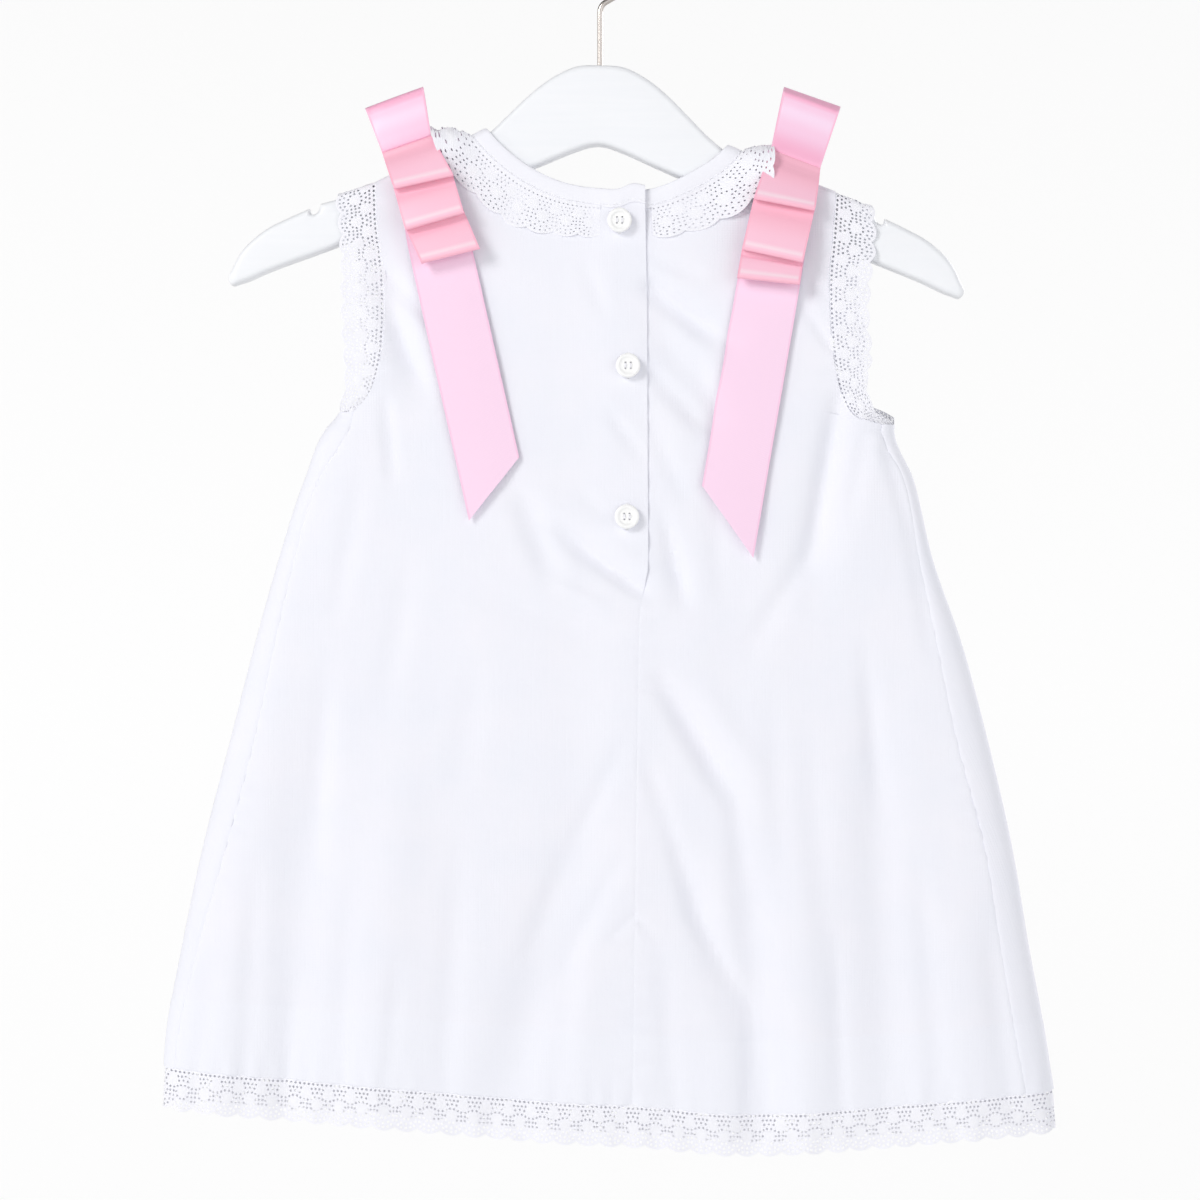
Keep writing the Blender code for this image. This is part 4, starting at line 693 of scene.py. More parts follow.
def welded(points, faces, *others):
    """The mesh with the points that coincide made one, and the faces that this collapses left out."""
    _, kept, index = np.unique(np.round(points, 3), axis=0, return_index=True, return_inverse=True)
    faces = index.reshape(-1)[faces]
    whole = np.all(faces != np.roll(faces, 1, axis=1), axis=1)
    return (points[kept], faces[whole], *[other[kept] for other in others])


def crossed(corners):
    """Twice the area of each triangle or quad, as a vector square to it."""
    if corners.shape[1] == 3:
        return np.cross(corners[:, 1] - corners[:, 0], corners[:, 2] - corners[:, 0])
    return np.cross(corners[:, 2] - corners[:, 0], corners[:, 3] - corners[:, 1])


def point_normals(points, faces):
    normals = np.zeros_like(points)
    across = crossed(points[faces])
    for k in range(faces.shape[1]):
        np.add.at(normals, faces[:, k], across)
    return normals / np.maximum(np.linalg.norm(normals, axis=1, keepdims=True), 1e-12)


def open_edges(faces):
    """The edges that only one face has, each in that face's own direction."""
    starts, ends = faces.T.ravel(), np.roll(faces, -1, axis=1).T.ravel()
    size = faces.max() + 1
    shared = np.isin(starts * size + ends, ends * size + starts)
    return np.stack([starts, ends], axis=1)[~shared]


def thick_sheet(points, faces, half):
    """A closed wall: the faces moved out and in by half a thickness, and joined along every open edge."""
    shift = point_normals(points, faces) * np.broadcast_to(half, len(points))[:, None]
    rim = open_edges(faces)
    count = len(points)
    sides = np.stack([rim[:, 1], rim[:, 0], rim[:, 0] + count, rim[:, 1] + count], axis=1)
    walls = [face for part in (faces, faces[:, ::-1] + count, sides) for face in part.tolist()]
    return np.concatenate([points + shift, points - shift]), walls


def add_mesh(name, points, faces, material):
    """A smooth mesh from points in millimetres, in the scene."""
    mesh = bpy.data.meshes.new(name)
    faces = faces if isinstance(faces, list) else faces.tolist()
    mesh.from_pydata((np.asarray(points) * MM).tolist(), [], faces)
    mesh.materials.append(material)
    mesh.shade_smooth()
    made = bpy.data.objects.new(name, mesh)
    bpy.context.scene.collection.objects.link(made)
    return made


def add_piece(name, points, faces, material, threads=None, sharp=50.0):
    """A piece that rides on the one body. threads holds, at each point, the cloth's own coordinates in
    millimetres: along the weft, along the warp, and a third that its finish reads."""
    piece = add_mesh(name, points, faces, material)
    if threads is not None:
        stored = piece.data.attributes.new("threads", "FLOAT_VECTOR", "POINT")
        stored.data.foreach_set("vector", np.asarray(threads, np.float32).ravel())
    piece.data.set_sharp_from_angle(angle=math.radians(sharp))
    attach(piece, "root")
    return piece


def add_sheet(name, points, faces, half, material, threads):
    """A piece of cloth of this thickness, on its middle surface."""
    walls = thick_sheet(points, faces, half)
    return add_piece(name, *walls, material, np.concatenate([threads, threads]))


def cloth_piece(name, grids, half, material):
    points, faces, threads = joined(grids)
    return add_sheet(name, points, faces, half, material, threads)


def edge_distance(points, axis, last=False):
    """How far each point of a grid is from its first or last line, along the grid."""
    steps = np.linalg.norm(np.diff(points, axis=axis), axis=-1)
    if last:
        steps = np.flip(steps, axis)
    pad = [(0, 0), (0, 0)]
    pad[axis] = (1, 0)
    run = np.cumsum(np.pad(steps, pad), axis=axis)
    return np.flip(run, axis) if last else run


def rolled(points, distance, depth, width, where=1.0):
    """The grid with an edge turned in towards the wearer, as a seam or a folded edge is."""
    turn = np.clip(1 - distance / width, 0.0, 1.0) ** 2
    return points - away_from_wearer(points) * (depth * turn * where)[..., None]


def puckered(points, distance, run, height, length, reach, seed):
    """The grid drawn up in small uneven puckers beside a line of sewing."""
    slow, quick = np.sin(run / (length * 2.7) + seed), np.sin(run / (length * 1.3) + 2.0 * seed)
    uneven = 0.6 + 0.4 * slow + 0.35 * quick
    wave = np.sin(2 * math.pi * run / length + 1.3 * np.sin(run / (length * 1.7) + seed))
    shift = height * uneven * wave * np.exp(-((distance / reach) ** 2))
    return points + away_from_wearer(points) * shift[..., None]


# ---------------------------------------------------------------------------------------------
# Finishes
# ---------------------------------------------------------------------------------------------


def linear(hex_colour):
    """A colour written as sRGB hex, in the linear numbers that a shader takes."""
    parts = [int(hex_colour[i : i + 2], 16) / 255 for i in (1, 3, 5)]
    return (*[p / 12.92 if p <= 0.04045 else ((p + 0.055) / 1.055) ** 2.4 for p in parts], 1.0)


def node(tree, kind, sockets=(), **settings):
    """Adds a node, with its settings, and its inputs given as values or as outputs to link."""
    made = tree.nodes.new(kind)
    for name, value in settings.items():
        setattr(made, name, value)
    for name, value in dict(sockets).items():
        if isinstance(value, bpy.types.NodeSocket):
            tree.links.new(value, made.inputs[name])
        else:
            made.inputs[name].default_value = value
    return made


def finish(name, **sockets):
    """A new material, and its shader with these constant values."""
    made = bpy.data.materials.new(name)
    made.use_nodes = True
    shader = made.node_tree.nodes["Principled BSDF"]
    for socket, value in sockets.items():
        shader.inputs[socket.replace("_", " ")].default_value = value
    return made, made.node_tree, shader


WAVES_PER_MM = math.pi / 10  # a wave texture of scale 1 repeats every tenth of pi


def cloth_space(tree):
    """The cloth's own coordinates together, and each alone: across, along, and the third of its piece."""
    threads = node(tree, "ShaderNodeAttribute", attribute_name="threads").outputs["Vector"]
    return threads, node(tree, "ShaderNodeSeparateXYZ", {"Vector": threads}).outputs


def weave_height(tree, threads, warp, weft):
    """Warp and weft threads that pass over and under each other. warp and weft are each a pitch in
    millimetres and how unevenly it runs."""
    bands = [
        node(tree, "ShaderNodeTexWave",
             {"Vector": threads, "Scale": WAVES_PER_MM / pitch, "Distortion": uneven},
             bands_direction=way).outputs["Fac"]
        for way, (pitch, uneven) in (("X", warp), ("Y", weft))
    ]
    return node(tree, "ShaderNodeMath", {0: bands[0], 1: bands[1]}, operation="ADD").outputs[0]


def cotton_poplin(name, light, shade, doubled):
    """Cotton poplin: matt, with fine slubs, a soft fuzz at grazing light, and whiter where it is doubled."""
    made, tree, shader = finish(name, Roughness=0.88, Sheen_Weight=0.18, Sheen_Roughness=0.6,
                                Specular_IOR_Level=0.2)
    threads, parts = cloth_space(tree)
    # Poplin has about 0.2 mm between threads, drawn at 1.1 mm so that it shows.
    weave = weave_height(tree, threads, (1.1, 1.2), (1.1, 1.2))
    # Slubs a few threads thick, some 20 mm long, up the warp.
    slub_space = node(tree, "ShaderNodeMapping", {"Vector": threads, "Scale": (0.9, 0.05, 1.0)})
    slubs = node(tree, "ShaderNodeTexNoise", {"Vector": slub_space.outputs[0], "Scale": 1.0, "Detail": 3.0})
    # Clouds of about 30 mm, where the cloth is a little less bleached.
    clouds = node(tree, "ShaderNodeTexNoise", {"Vector": threads, "Scale": 0.035, "Detail": 2.0})
    single = node(tree, "ShaderNodeMix", {"Factor": clouds.outputs["Fac"], "A": linear(shade),
                                          "B": linear(light)}, data_type="RGBA")
    tone = node(tree, "ShaderNodeMix", {"Factor": parts["Z"], "A": single.outputs["Result"],
                                        "B": linear(doubled)}, data_type="RGBA")
    tree.links.new(tone.outputs["Result"], shader.inputs["Base Color"])
    slub_height = node(tree, "ShaderNodeMath", {0: slubs.outputs["Fac"], 1: 9.0}, operation="MULTIPLY")
    height = node(tree, "ShaderNodeMath", {0: weave, 1: slub_height.outputs[0]}, operation="ADD")
    bump = node(tree, "ShaderNodeBump", {"Height": height.outputs[0], "Strength": 0.1, "Distance": 0.00012})
    tree.links.new(bump.outputs["Normal"], shader.inputs["Normal"])
    return made


def cotton_lace(name):
    """Machine-made cotton lace: matt white twisted thread, its raised spots whiter than the net."""
    made, tree, shader = finish(name, Roughness=0.9, Sheen_Weight=0.15, Sheen_Roughness=0.6,
                                Specular_IOR_Level=0.2)
    threads, parts = cloth_space(tree)
    tone = node(tree, "ShaderNodeMix", {"Factor": parts["Z"], "A": linear("#F8F8FF"),
                                        "B": linear("#FCFCFF")}, data_type="RGBA")
    tree.links.new(tone.outputs["Result"], shader.inputs["Base Color"])
    # Thread of 0.3 mm, twisted at a slant, its turns 0.45 mm apart.
    twist = node(tree, "ShaderNodeTexWave", {"Vector": threads, "Scale": WAVES_PER_MM / 0.45,
                                             "Distortion": 3.0, "Detail": 1.0}, bands_direction="DIAGONAL")
    bump = node(tree, "ShaderNodeBump", {"Height": twist.outputs["Fac"], "Strength": 0.4,
                                         "Distance": 0.00015})
    tree.links.new(bump.outputs["Normal"], shader.inputs["Normal"])
    return made


def satin_ribbon(name, body, edge, crown=None, shade=None, face=20.0, crown_at=0.2):
    """Double-face polyester satin: a broad soft highlight across the warp, and a firm woven selvedge. Its
    copies differ in body tone as painted light and shade: the tails are painted paler, the loops deeper. A
    loop has a painted highlight just past its fold, and painted shade at the fold and where it goes in under
    the next one: crown is the painted highlight's colour, crown_at its share of the way along a face this
    long in millimetres, and shade the painted shade's colour."""
    made, tree, shader = finish(name, Roughness=0.3, Anisotropic=0.55, Sheen_Weight=0.3,
                                Sheen_Roughness=0.35, Specular_IOR_Level=0.6)
    threads, parts = cloth_space(tree)
    # The ramp paints a highlight just past the fold, and paints shade at the fold and where the loop goes in
    # under the next.
    along = node(tree, "ShaderNodeMath", {0: parts["Y"], 1: face}, operation="DIVIDE").outputs[0]
    painted_light_tones = node(tree, "ShaderNodeValToRGB", {"Fac": along})
    painted_light_tones.color_ramp.interpolation = "EASE"
    for end in painted_light_tones.color_ramp.elements:
        end.color = linear(shade or body)
    stops = ((crown_at / 3, body), (crown_at, crown or body), (2 * crown_at, body), (0.95, shade or body))
    for place, colour in stops:
        painted_light_tones.color_ramp.elements.new(place).color = linear(colour)
    # The selvedge is the outer 0.5 mm, and fades over the next 0.6.
    selvedge = node(tree, "ShaderNodeMapRange", {"Value": parts["Z"], "From Min": 1.1, "From Max": 0.5,
                                                 "To Min": 0.0, "To Max": 1.0})
    tone = node(tree, "ShaderNodeMix", {"Factor": selvedge.outputs[0], "A": painted_light_tones.outputs["Color"],
                                        "B": linear(edge)}, data_type="RGBA")
    tree.links.new(tone.outputs["Result"], shader.inputs["Base Color"])
    # Floats of the warp, about 0.1 mm apart, drawn at 0.5 mm, with the weft's faint ribs across them.
    weave = weave_height(tree, threads, (0.5, 1.0), (0.9, 0.6))
    bump = node(tree, "ShaderNodeBump", {"Height": weave, "Strength": 0.12, "Distance": 0.00008})
    tree.links.new(bump.outputs["Normal"], shader.inputs["Normal"])
    return made


def cast_polyester(name):
    """Cast polyester button: glossy warm white, faintly milky and clouded like shell."""
    made, tree, shader = finish(name, Roughness=0.32, Coat_Weight=0.3, Coat_Roughness=0.12, IOR=1.5)
    place = node(tree, "ShaderNodeTexCoord").outputs["Object"]
    # Clouds of 2 to 3 mm.
    clouds = node(tree, "ShaderNodeTexNoise", {"Vector": place, "Scale": 420.0, "Detail": 2.0,
                                               "Distortion": 0.8})
    tone = node(tree, "ShaderNodeMix", {"Factor": clouds.outputs["Fac"], "A": linear("#FFFFFE"),
                                        "B": linear("#FAFAFA")}, data_type="RGBA")
    tree.links.new(tone.outputs["Result"], shader.inputs["Base Color"])
    return made


def painted_wood(name):
    """Sprayed white satin paint on lotus wood: the grain just shows through, and the arrises are rubbed."""
    made, tree, shader = finish(name, Specular_IOR_Level=0.4, Coat_Weight=0.15, Coat_Roughness=0.3)
    place = node(tree, "ShaderNodeTexCoord").outputs["Object"]
    # Grain lines about 1.5 mm apart that run along the arms.
    stretched = node(tree, "ShaderNodeMapping", {"Vector": place, "Scale": (22.0, 500.0, 620.0)})
    grain = node(tree, "ShaderNodeTexNoise", {"Vector": stretched.outputs[0], "Scale": 1.0, "Detail": 4.0,
                                              "Distortion": 0.6})
    # Rubbed patches of 20 mm or so.
    rubbed = node(tree, "ShaderNodeTexNoise", {"Vector": place, "Scale": 55.0, "Detail": 3.0})
    arrises = node(tree, "ShaderNodeNewGeometry").outputs["Pointiness"]
    worn = node(tree, "ShaderNodeMapRange", {"Value": arrises, "From Min": 0.53, "From Max": 0.62})
    patchy = node(tree, "ShaderNodeMath", {0: worn.outputs[0], 1: rubbed.outputs["Fac"]},
                  operation="MULTIPLY")
    paint = node(tree, "ShaderNodeMix", {"Factor": grain.outputs["Fac"], "A": linear("#F3F5F9"),
                                         "B": linear("#F8F9FC")}, data_type="RGBA")
    tone = node(tree, "ShaderNodeMix", {"Factor": patchy.outputs[0], "A": paint.outputs["Result"],
                                        "B": linear("#EFEBE4")}, data_type="RGBA")
    tree.links.new(tone.outputs["Result"], shader.inputs["Base Color"])
    gloss = node(tree, "ShaderNodeMapRange", {"Value": rubbed.outputs["Fac"], "To Min": 0.34, "To Max": 0.5})
    tree.links.new(gloss.outputs[0], shader.inputs["Roughness"])
    bump = node(tree, "ShaderNodeBump", {"Height": grain.outputs["Fac"], "Strength": 0.2, "Distance": 0.0002})
    tree.links.new(bump.outputs["Normal"], shader.inputs["Normal"])
    return made


def drawn_steel(name):
    """Drawn steel wire, nickel plated: bright, with fine draw lines along it and a little dulling."""
    made, tree, shader = finish(name, Metallic=1.0, Base_Color=linear("#C9C2BD"), Anisotropic=0.3)
    place = node(tree, "ShaderNodeTexCoord").outputs["Object"]
    dull = node(tree, "ShaderNodeTexNoise", {"Vector": place, "Scale": 300.0, "Detail": 4.0})
    gloss = node(tree, "ShaderNodeMapRange", {"Value": dull.outputs["Fac"], "To Min": 0.16, "To Max": 0.42})
    tree.links.new(gloss.outputs[0], shader.inputs["Roughness"])
    return made


def sewing_thread(name):
    """Spun polyester sewing thread: white, matt, two strands twisted at a slant, 0.6 mm a turn."""
    made, tree, shader = finish(name, Roughness=0.7, Sheen_Weight=0.2, Base_Color=linear("#F6F6FA"))
    place = node(tree, "ShaderNodeTexCoord").outputs["Object"]
    twist = node(tree, "ShaderNodeTexWave", {"Vector": place, "Scale": WAVES_PER_MM / (0.6 * MM),
                                             "Distortion": 1.0}, bands_direction="DIAGONAL")
    bump = node(tree, "ShaderNodeBump", {"Height": twist.outputs["Fac"], "Strength": 0.3, "Distance": 0.0001})
    tree.links.new(bump.outputs["Normal"], shader.inputs["Normal"])
    return made


POPLIN = cotton_poplin("cotton_poplin", "#F7F6FD", "#F0F2FB", "#F4F5FD")
BIAS = cotton_poplin("poplin_bias_strip", "#F5F5FC", "#F0F0F9", "#F6F6FD")
LACE = cotton_lace("cotton_edging_lace")
# The satin copies' body tones are painted light and shade: the tails painted paler, the standing and stepped
# loops painted deeper, each loop with a painted highlight past its fold and painted shade under the next.
SATIN = {
    "tails": satin_ribbon("satin_ribbon_tails_painted_paler", "#FDDBF2", "#FBCDE8"),
    "standing": satin_ribbon("satin_ribbon_standing_painted_light_and_shade", "#FFD2EC", "#FFC3DE", "#FFDFF6", "#FFBAD8", 24.0, 0.27),
    "loops": satin_ribbon("satin_ribbon_loops_painted_light_and_shade", "#FFCADE", "#FFBBD1", "#FFDFEB", "#FFBFD3", 16.5, 0.12),
}
BUTTON = cast_polyester("cast_polyester_button")
WOOD = painted_wood("white_painted_wood")
STEEL = drawn_steel("nickel_plated_steel_wire")
THREAD = sewing_thread("polyester_sewing_thread")

# ---------------------------------------------------------------------------------------------
# The three panels
# ---------------------------------------------------------------------------------------------

HEM_TURN, HEM_TURN_WIDTH = 0.3, 0.7
CENTRE_AT_HEM_Z = -497.0

# The hem's corners lie about this many times farther out than the tops of the armholes.
SKIRT_FLARE = 1.9

# Where the columns of the front's margins lie, from the side fold to the seam on the back.
WRAP_SHARES = np.array([0.0, 0.02, 0.06, 0.13, 0.22, 0.34, 0.48, 0.62, 0.76, 0.86, 0.93, 0.97, 1.0])


def panel_threads(points, across, layer):
    """Weft along X and warp along Z. The third is 1 where the turned-up hem doubles the cloth."""
    hem = points[..., 2] - hem_z(points[..., 0], layer)
    return np.stack([across, points[..., 2], smoothstep(HEM_DEPTH + 0.6, HEM_DEPTH - 0.6, hem)], axis=-1)


def hemmed(points, layer):
    """The little step where the hem's turning ends inside, and the puckers of the lace seam below it."""
    above = points[..., 2] - hem_z(points[..., 0], layer)
    step = 0.16 * smoothstep(HEM_DEPTH + 1.2, HEM_DEPTH - 1.2, above)
    pulled = -0.3 * np.exp(-(((above - HEM_DEPTH) / 2.2) ** 2))
    shift = step + pulled * (0.6 + 0.4 * np.sin(points[..., 0] / 5.3))
    points = points + away_from_wearer(points) * shift[..., None]
    return puckered(points, above, points[..., 0], height=0.42, length=8.7, reach=9.0, seed=1.0)


def back_panel(side):
    """One back panel, from its side seam to the centre back, sewn edges turned in."""
    rows = LAP_EDGE if side == "left" else UNDERLAP_EDGE
    neck = binding_edge(0)[::-1] if side == "left" else binding_edge(2)
    start = ARMHOLES[side, BACK][0]
    over = shoulder_edge(BACK, start.x, neck[0, 0])[:-1]
    top = np.concatenate([over, neck])
    outer, _ = side_curve(side, BACK, float(hem_z(SKIRT_FLARE * start.x)))
    low_end = float(straight(rows[::-1], "z", "x", CENTRE_AT_HEM_Z))
    low_x = outer[-1, 0] + (top[:, 0] - start.x) / (top[-1, 0] - start.x) * (low_end - outer[-1, 0])
    bottom = np.stack([low_x, hem_z(low_x)], axis=-1)
    outer[0], outer[-1] = top[0], bottom[0]
    shares = (outer[:, 1] - outer[0, 1]) / (outer[-1, 1] - outer[0, 1])
    grid = coons(top, bottom, outer, centre_edge(rows, top[-1], bottom[-1], shares))
    points = on_cloth(BACK, grid[..., 0], grid[..., 1], SHOULDER_PARTING / SHOULDER_RADIUS)
    threads = panel_threads(points, grid[..., 0], BACK)
    points = hemmed(points, BACK)
    from_side, from_centre = edge_distance(points, 1), edge_distance(points, 1, last=True)
    seam = smoothstep(UNDERARM_Z + 2.0, UNDERARM_Z - 4.0, grid[..., 1])
    joined_below = smoothstep(PLACKET_END_Z - 3.0, PLACKET_END_Z - 6.0, grid[..., 1])
    points = puckered(points, from_side, points[..., 2], height=0.3, length=10.5, reach=6.0, seed=2.0)
    points = puckered(points, from_centre, points[..., 2], height=0.3, length=11.5, reach=6.0, seed=4.0)
    points = rolled(points, from_side, SIDE_SEAM_TURN, SEAM_TURN_WIDTH, seam)
    points = rolled(points, from_centre, CENTRE_SEAM_TURN, SEAM_TURN_WIDTH, joined_below)
    points = rolled(points, edge_distance(points, 0, last=True), HEM_TURN, HEM_TURN_WIDTH)
    parted = lapping(points) if side == "left" else underlapping(points)
    piece = cloth_piece("cloth_back_" + side, [(parted, threads)], CLOTH_HALF, POPLIN)
    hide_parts("back_" + side)


def wrapped_side(side, fold, z):
    """The front panel's margin beyond the side fold, as far as the seam on the back."""
    sign = 1 if side == "left" else -1
    seam = section("seam_" + side, z) - SIDE_SEAM_GAP / 2 * sign
    width = np.abs(seam - fold)[:, None]
    across = fold[:, None] - sign * width * WRAP_SHARES
    seen_x = 2 * fold[:, None] - across
    lowered = ((z[0] - z) / (z[0] - z[-1]))[:, None] ** 4
    height = z[:, None] + lowered * (hem_z(seen_x) - hem_z(fold)[:, None])
    points = on_cloth(FRONT, across, height)
    threads = panel_threads(points, across, BACK)
    points = hemmed(points, BACK)
    points = rolled(points, edge_distance(points, 1, last=True), SIDE_SEAM_TURN, SEAM_TURN_WIDTH)
    order = slice(None, None, -1) if side == "left" else slice(None)
    return points[:, order], threads[:, order]


def front_panel():
    """The front, cut in one piece: it wraps round both side folds."""
    neck = binding_edge(1)
    start, end = ARMHOLES["left", FRONT][0], ARMHOLES["right", FRONT][0]
    over_left = shoulder_edge(FRONT, start.x, neck[0, 0])[:-1]
    over_right = shoulder_edge(FRONT, end.x, neck[-1, 0])[-2::-1]
    top = np.concatenate([over_left, neck, over_right])
    left, skirt = side_curve("left", FRONT, float(hem_z(SKIRT_FLARE * start.x, FRONT)))
    right, _ = side_curve("right", FRONT, float(hem_z(SKIRT_FLARE * end.x, FRONT)))
    right = resampled(right, (left[:, 1] - left[0, 1]) / (left[-1, 1] - left[0, 1]), skirt)
    low_x = left[-1, 0] + (top[:, 0] - start.x) / (end.x - start.x) * (right[-1, 0] - left[-1, 0])
    bottom = np.stack([low_x, hem_z(low_x, FRONT)], axis=-1)
    left[0], left[-1], right[0], right[-1] = top[0], bottom[0], top[-1], bottom[-1]
    grid = coons(top, bottom, left, right)
    points = on_cloth(FRONT, grid[..., 0], grid[..., 1], SHOULDER_PARTING / SHOULDER_RADIUS)
    threads = panel_threads(points, grid[..., 0], FRONT)
    from_fold = np.minimum(edge_distance(points, 1), edge_distance(points, 1, last=True))
    points = points + (hemmed(points, FRONT) - points) * smoothstep(0.0, 6.0, from_fold)[..., None]
    grids = [(points, threads)]
    for side, curve, at in (("left", left[skirt:], 0), ("right", right[skirt:], -1)):
        wrap, wrap_threads = wrapped_side(side, curve[:, 0], curve[:, 1])
        wrap[:, -1 if side == "left" else 0] = points[skirt:, at]
        grids.append((wrap, wrap_threads))
    piece = cloth_piece("cloth_front", grids, CLOTH_HALF, POPLIN)
    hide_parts("front")


def resampled(curve, shares, skirt):
    """A side curve with as many points above and below the underarm as the other side has."""
    run = run_along(curve)
    under = int(np.argmin(np.abs(curve[:, 1] - ARMHOLES["right", FRONT][-1].z)))
    near = [step for step in RIDGE_STEPS if step < run[under]]
    even = np.linspace(near[-1], run[under], skirt + 1 - len(near))
    upper = np.concatenate([[0.0], near[:-1], even])
    x = np.interp(upper, run, curve[:, 0])
    z = np.interp(upper, run, curve[:, 1])
    under_z = curve[under, 1]
    below = (shares[skirt + 1 :] - shares[skirt]) / (1 - shares[skirt])
    lower_z = under_z + below * (curve[-1, 1] - under_z)
    lower_x = np.interp(-lower_z, -curve[under:, 1], curve[under:, 0])
    return np.stack([np.concatenate([x, lower_x]), np.concatenate([z, lower_z])], axis=-1)


# ---------------------------------------------------------------------------------------------
# Neck binding
# ---------------------------------------------------------------------------------------------


def neck_path(step):
    """Stations round the neckline: its three stretches, joined on the ridges of the shoulders."""
    names = ("x", "z", "turn", "lace_turn", "lace_reach", "lace_stand")
    stations = {name: [] for name in (*names, "layer", "run")}
    length = 0.0
    for number, (layer, rows) in enumerate(NECK_STRETCHES):
        at = even_steps(rows, step, ridge_first=number > 0, ridge_last=number < 2)[min(number, 1):]
        for name, values in read_path(rows, names, at).items():
            stations[name].append(values)
        stations["layer"].append(np.full(len(at), layer))
        stations["run"].append(length + at)
        length += run_of(rows)[-1]
    return {name: np.concatenate(parts) for name, parts in stations.items()}


def lap_at_neck(points, stations):
    """Moves the two back stretches apart in depth, as the two edges of the placket are."""
    back = stations["layer"] == BACK
    first_half = np.arange(len(back)) < len(back) // 2
    points = np.where((first_half & back)[None, :, None], lapping(points), points)
    return np.where((~first_half & back)[None, :, None], underlapping(points), points)


def neck_grid(stations, distances):
    """Points on the cloth at these distances from the neckline, at every station."""
    turn = np.radians(stations["turn"])
    distances = np.asarray(distances)[:, None]
    x = stations["x"] + distances * np.cos(turn)
    z = stations["z"] + distances * np.sin(turn)
    return lap_at_neck(on_cloth(stations["layer"], x, z, creased=False), stations)


# The folded bias strip, from its outer turned edge over the neckline to its inner one: how far down
# from the neckline, and how far the middle of the strip lies off the cloth's middle.
BINDING_FOLD = table(
    "BindingPoint", "down out",
    (7.9, 0.36), (7.95, 0.46), (7.75, 0.56), (7.3, 0.62), (6.75, 0.44), (6.2, 0.64), (4.2, 0.74),
    (2.0, 0.78), (0.9, 0.70), (0.4, 0.46), (0.22, 0.0), (0.4, -0.46), (0.9, -0.62), (2.0, -0.66),
    (5.0, -0.62), (7.6, -0.52), (7.9, -0.40),
)
BINDING_HALF = 0.15
BINDING_STATION = 1.5

# The row of BINDING_FOLD that the stitches sink into.
STITCH_ROW = 4

# A bias strip drawn round a curve puckers a little: how much, and how far apart.
BIAS_PUCKER, BIAS_PUCKER_LENGTH = 0.12, 5.1


def neck_binding():
    """One bias strip folded over the neckline. It gives back the line of its stitches and their normals."""
    stations = neck_path(BINDING_STATION)
    down, out = column(BINDING_FOLD, "down"), column(BINDING_FOLD, "out")
    middle = neck_grid(stations, down)
    across = np.linspace(0.0, BINDING_WIDTH, 9)
    normals = away_along(neck_grid(stations, across), stations)
    outward = np.stack([
        np.stack([np.interp(down, across, normals[:, k, axis]) for axis in range(3)], -1)
        for k in range(normals.shape[1])
    ], axis=1)
    run = stations["run"]
    wave = BIAS_PUCKER * np.sin(2 * math.pi * run / BIAS_PUCKER_LENGTH + 1.4 * np.sin(run / 9.0))
    drawn = 1 + wave * (down[:, None] / BINDING_WIDTH)
    points = middle + outward * (out[:, None] * drawn)[..., None]
    over = np.cumsum(np.hypot(np.diff(down, prepend=down[0]), np.diff(out, prepend=out[0])))
    across_bias, along_bias = run[None] + over[:, None], run[None] - over[:, None]
    threads = np.stack(np.broadcast_arrays(across_bias, along_bias, 1.0), axis=-1)
    piece = cloth_piece("bias_neck_binding", [(points, threads)], BINDING_HALF, BIAS)
    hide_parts("neck_binding")
    stitch = middle[STITCH_ROW] + outward[STITCH_ROW] * (out[STITCH_ROW] + BINDING_HALF + 0.03)
    return stitch, outward[STITCH_ROW]


def away_along(grid, stations):
    """Unit normals of a strip that goes from one layer to the other, all away from the wearer."""
    normals = grid_normals(grid)
    middle = normals[len(grid) // 2, :, 1]
    sign = np.sign(middle[len(middle) // 2] * stations["layer"][len(middle) // 2])
    return normals * sign


# ---------------------------------------------------------------------------------------------
# Lace
# ---------------------------------------------------------------------------------------------

# One repeat of the edging, from its sewn edge (across 0) to its rim. A ladder of holes runs along the
# sewn edge, then two staggered rows of solid spots stand in a ground of eyelets.
EYELET_RADIUS = 0.5
LADDER_ACROSS, LADDER_HOLES = 1.9, 5
SPOTS = table(
    "Spot", "along across radius",
    (0.0, 5.5, 2.0), (LACE_REPEAT, 5.5, 2.0), (LACE_REPEAT / 2, 10.0, 2.05),
)

# Each eyelet with an offset stands on both sides of the repeat's middle.
EYELETS = table(
    "Eyelet", "off across",
    (4.04, 8.3), (2.0, 5.5), (2.56, 3.77), (2.5, 7.74), (0.85, 3.7), (0.0, 5.2), (0.93, 7.15), (2.85, 10.0),
    (2.3, 11.67), (0.88, 12.71), (4.15, 9.85), (4.15, 11.6), (4.2, 13.5), (0.0, 14.75), (2.15, 14.3),
    (0.0, 16.4), (1.96, 16.15), (3.5, 15.2),
)
RIM_WIDTH = 0.9
SIDE_ACROSS = (0.0, 0.9, 2.6, 3.5, 4.4, 5.5, 6.6, 7.5, 8.9, 10.7, 12.5, 14.6)

# Rings of points on a spot: share of its radius, how many, and how thick in lace thicknesses.
SPOT_RINGS = ((0.55, 7, 1.7), (1.0, 11, 1.15))


def scallop(along):
    """How far the lace reaches at a place along it."""
    return LACE_WIDTH - SCALLOP_DEPTH * (1 - np.abs(np.sin(math.pi * np.asarray(along) / LACE_REPEAT)) ** 0.8)


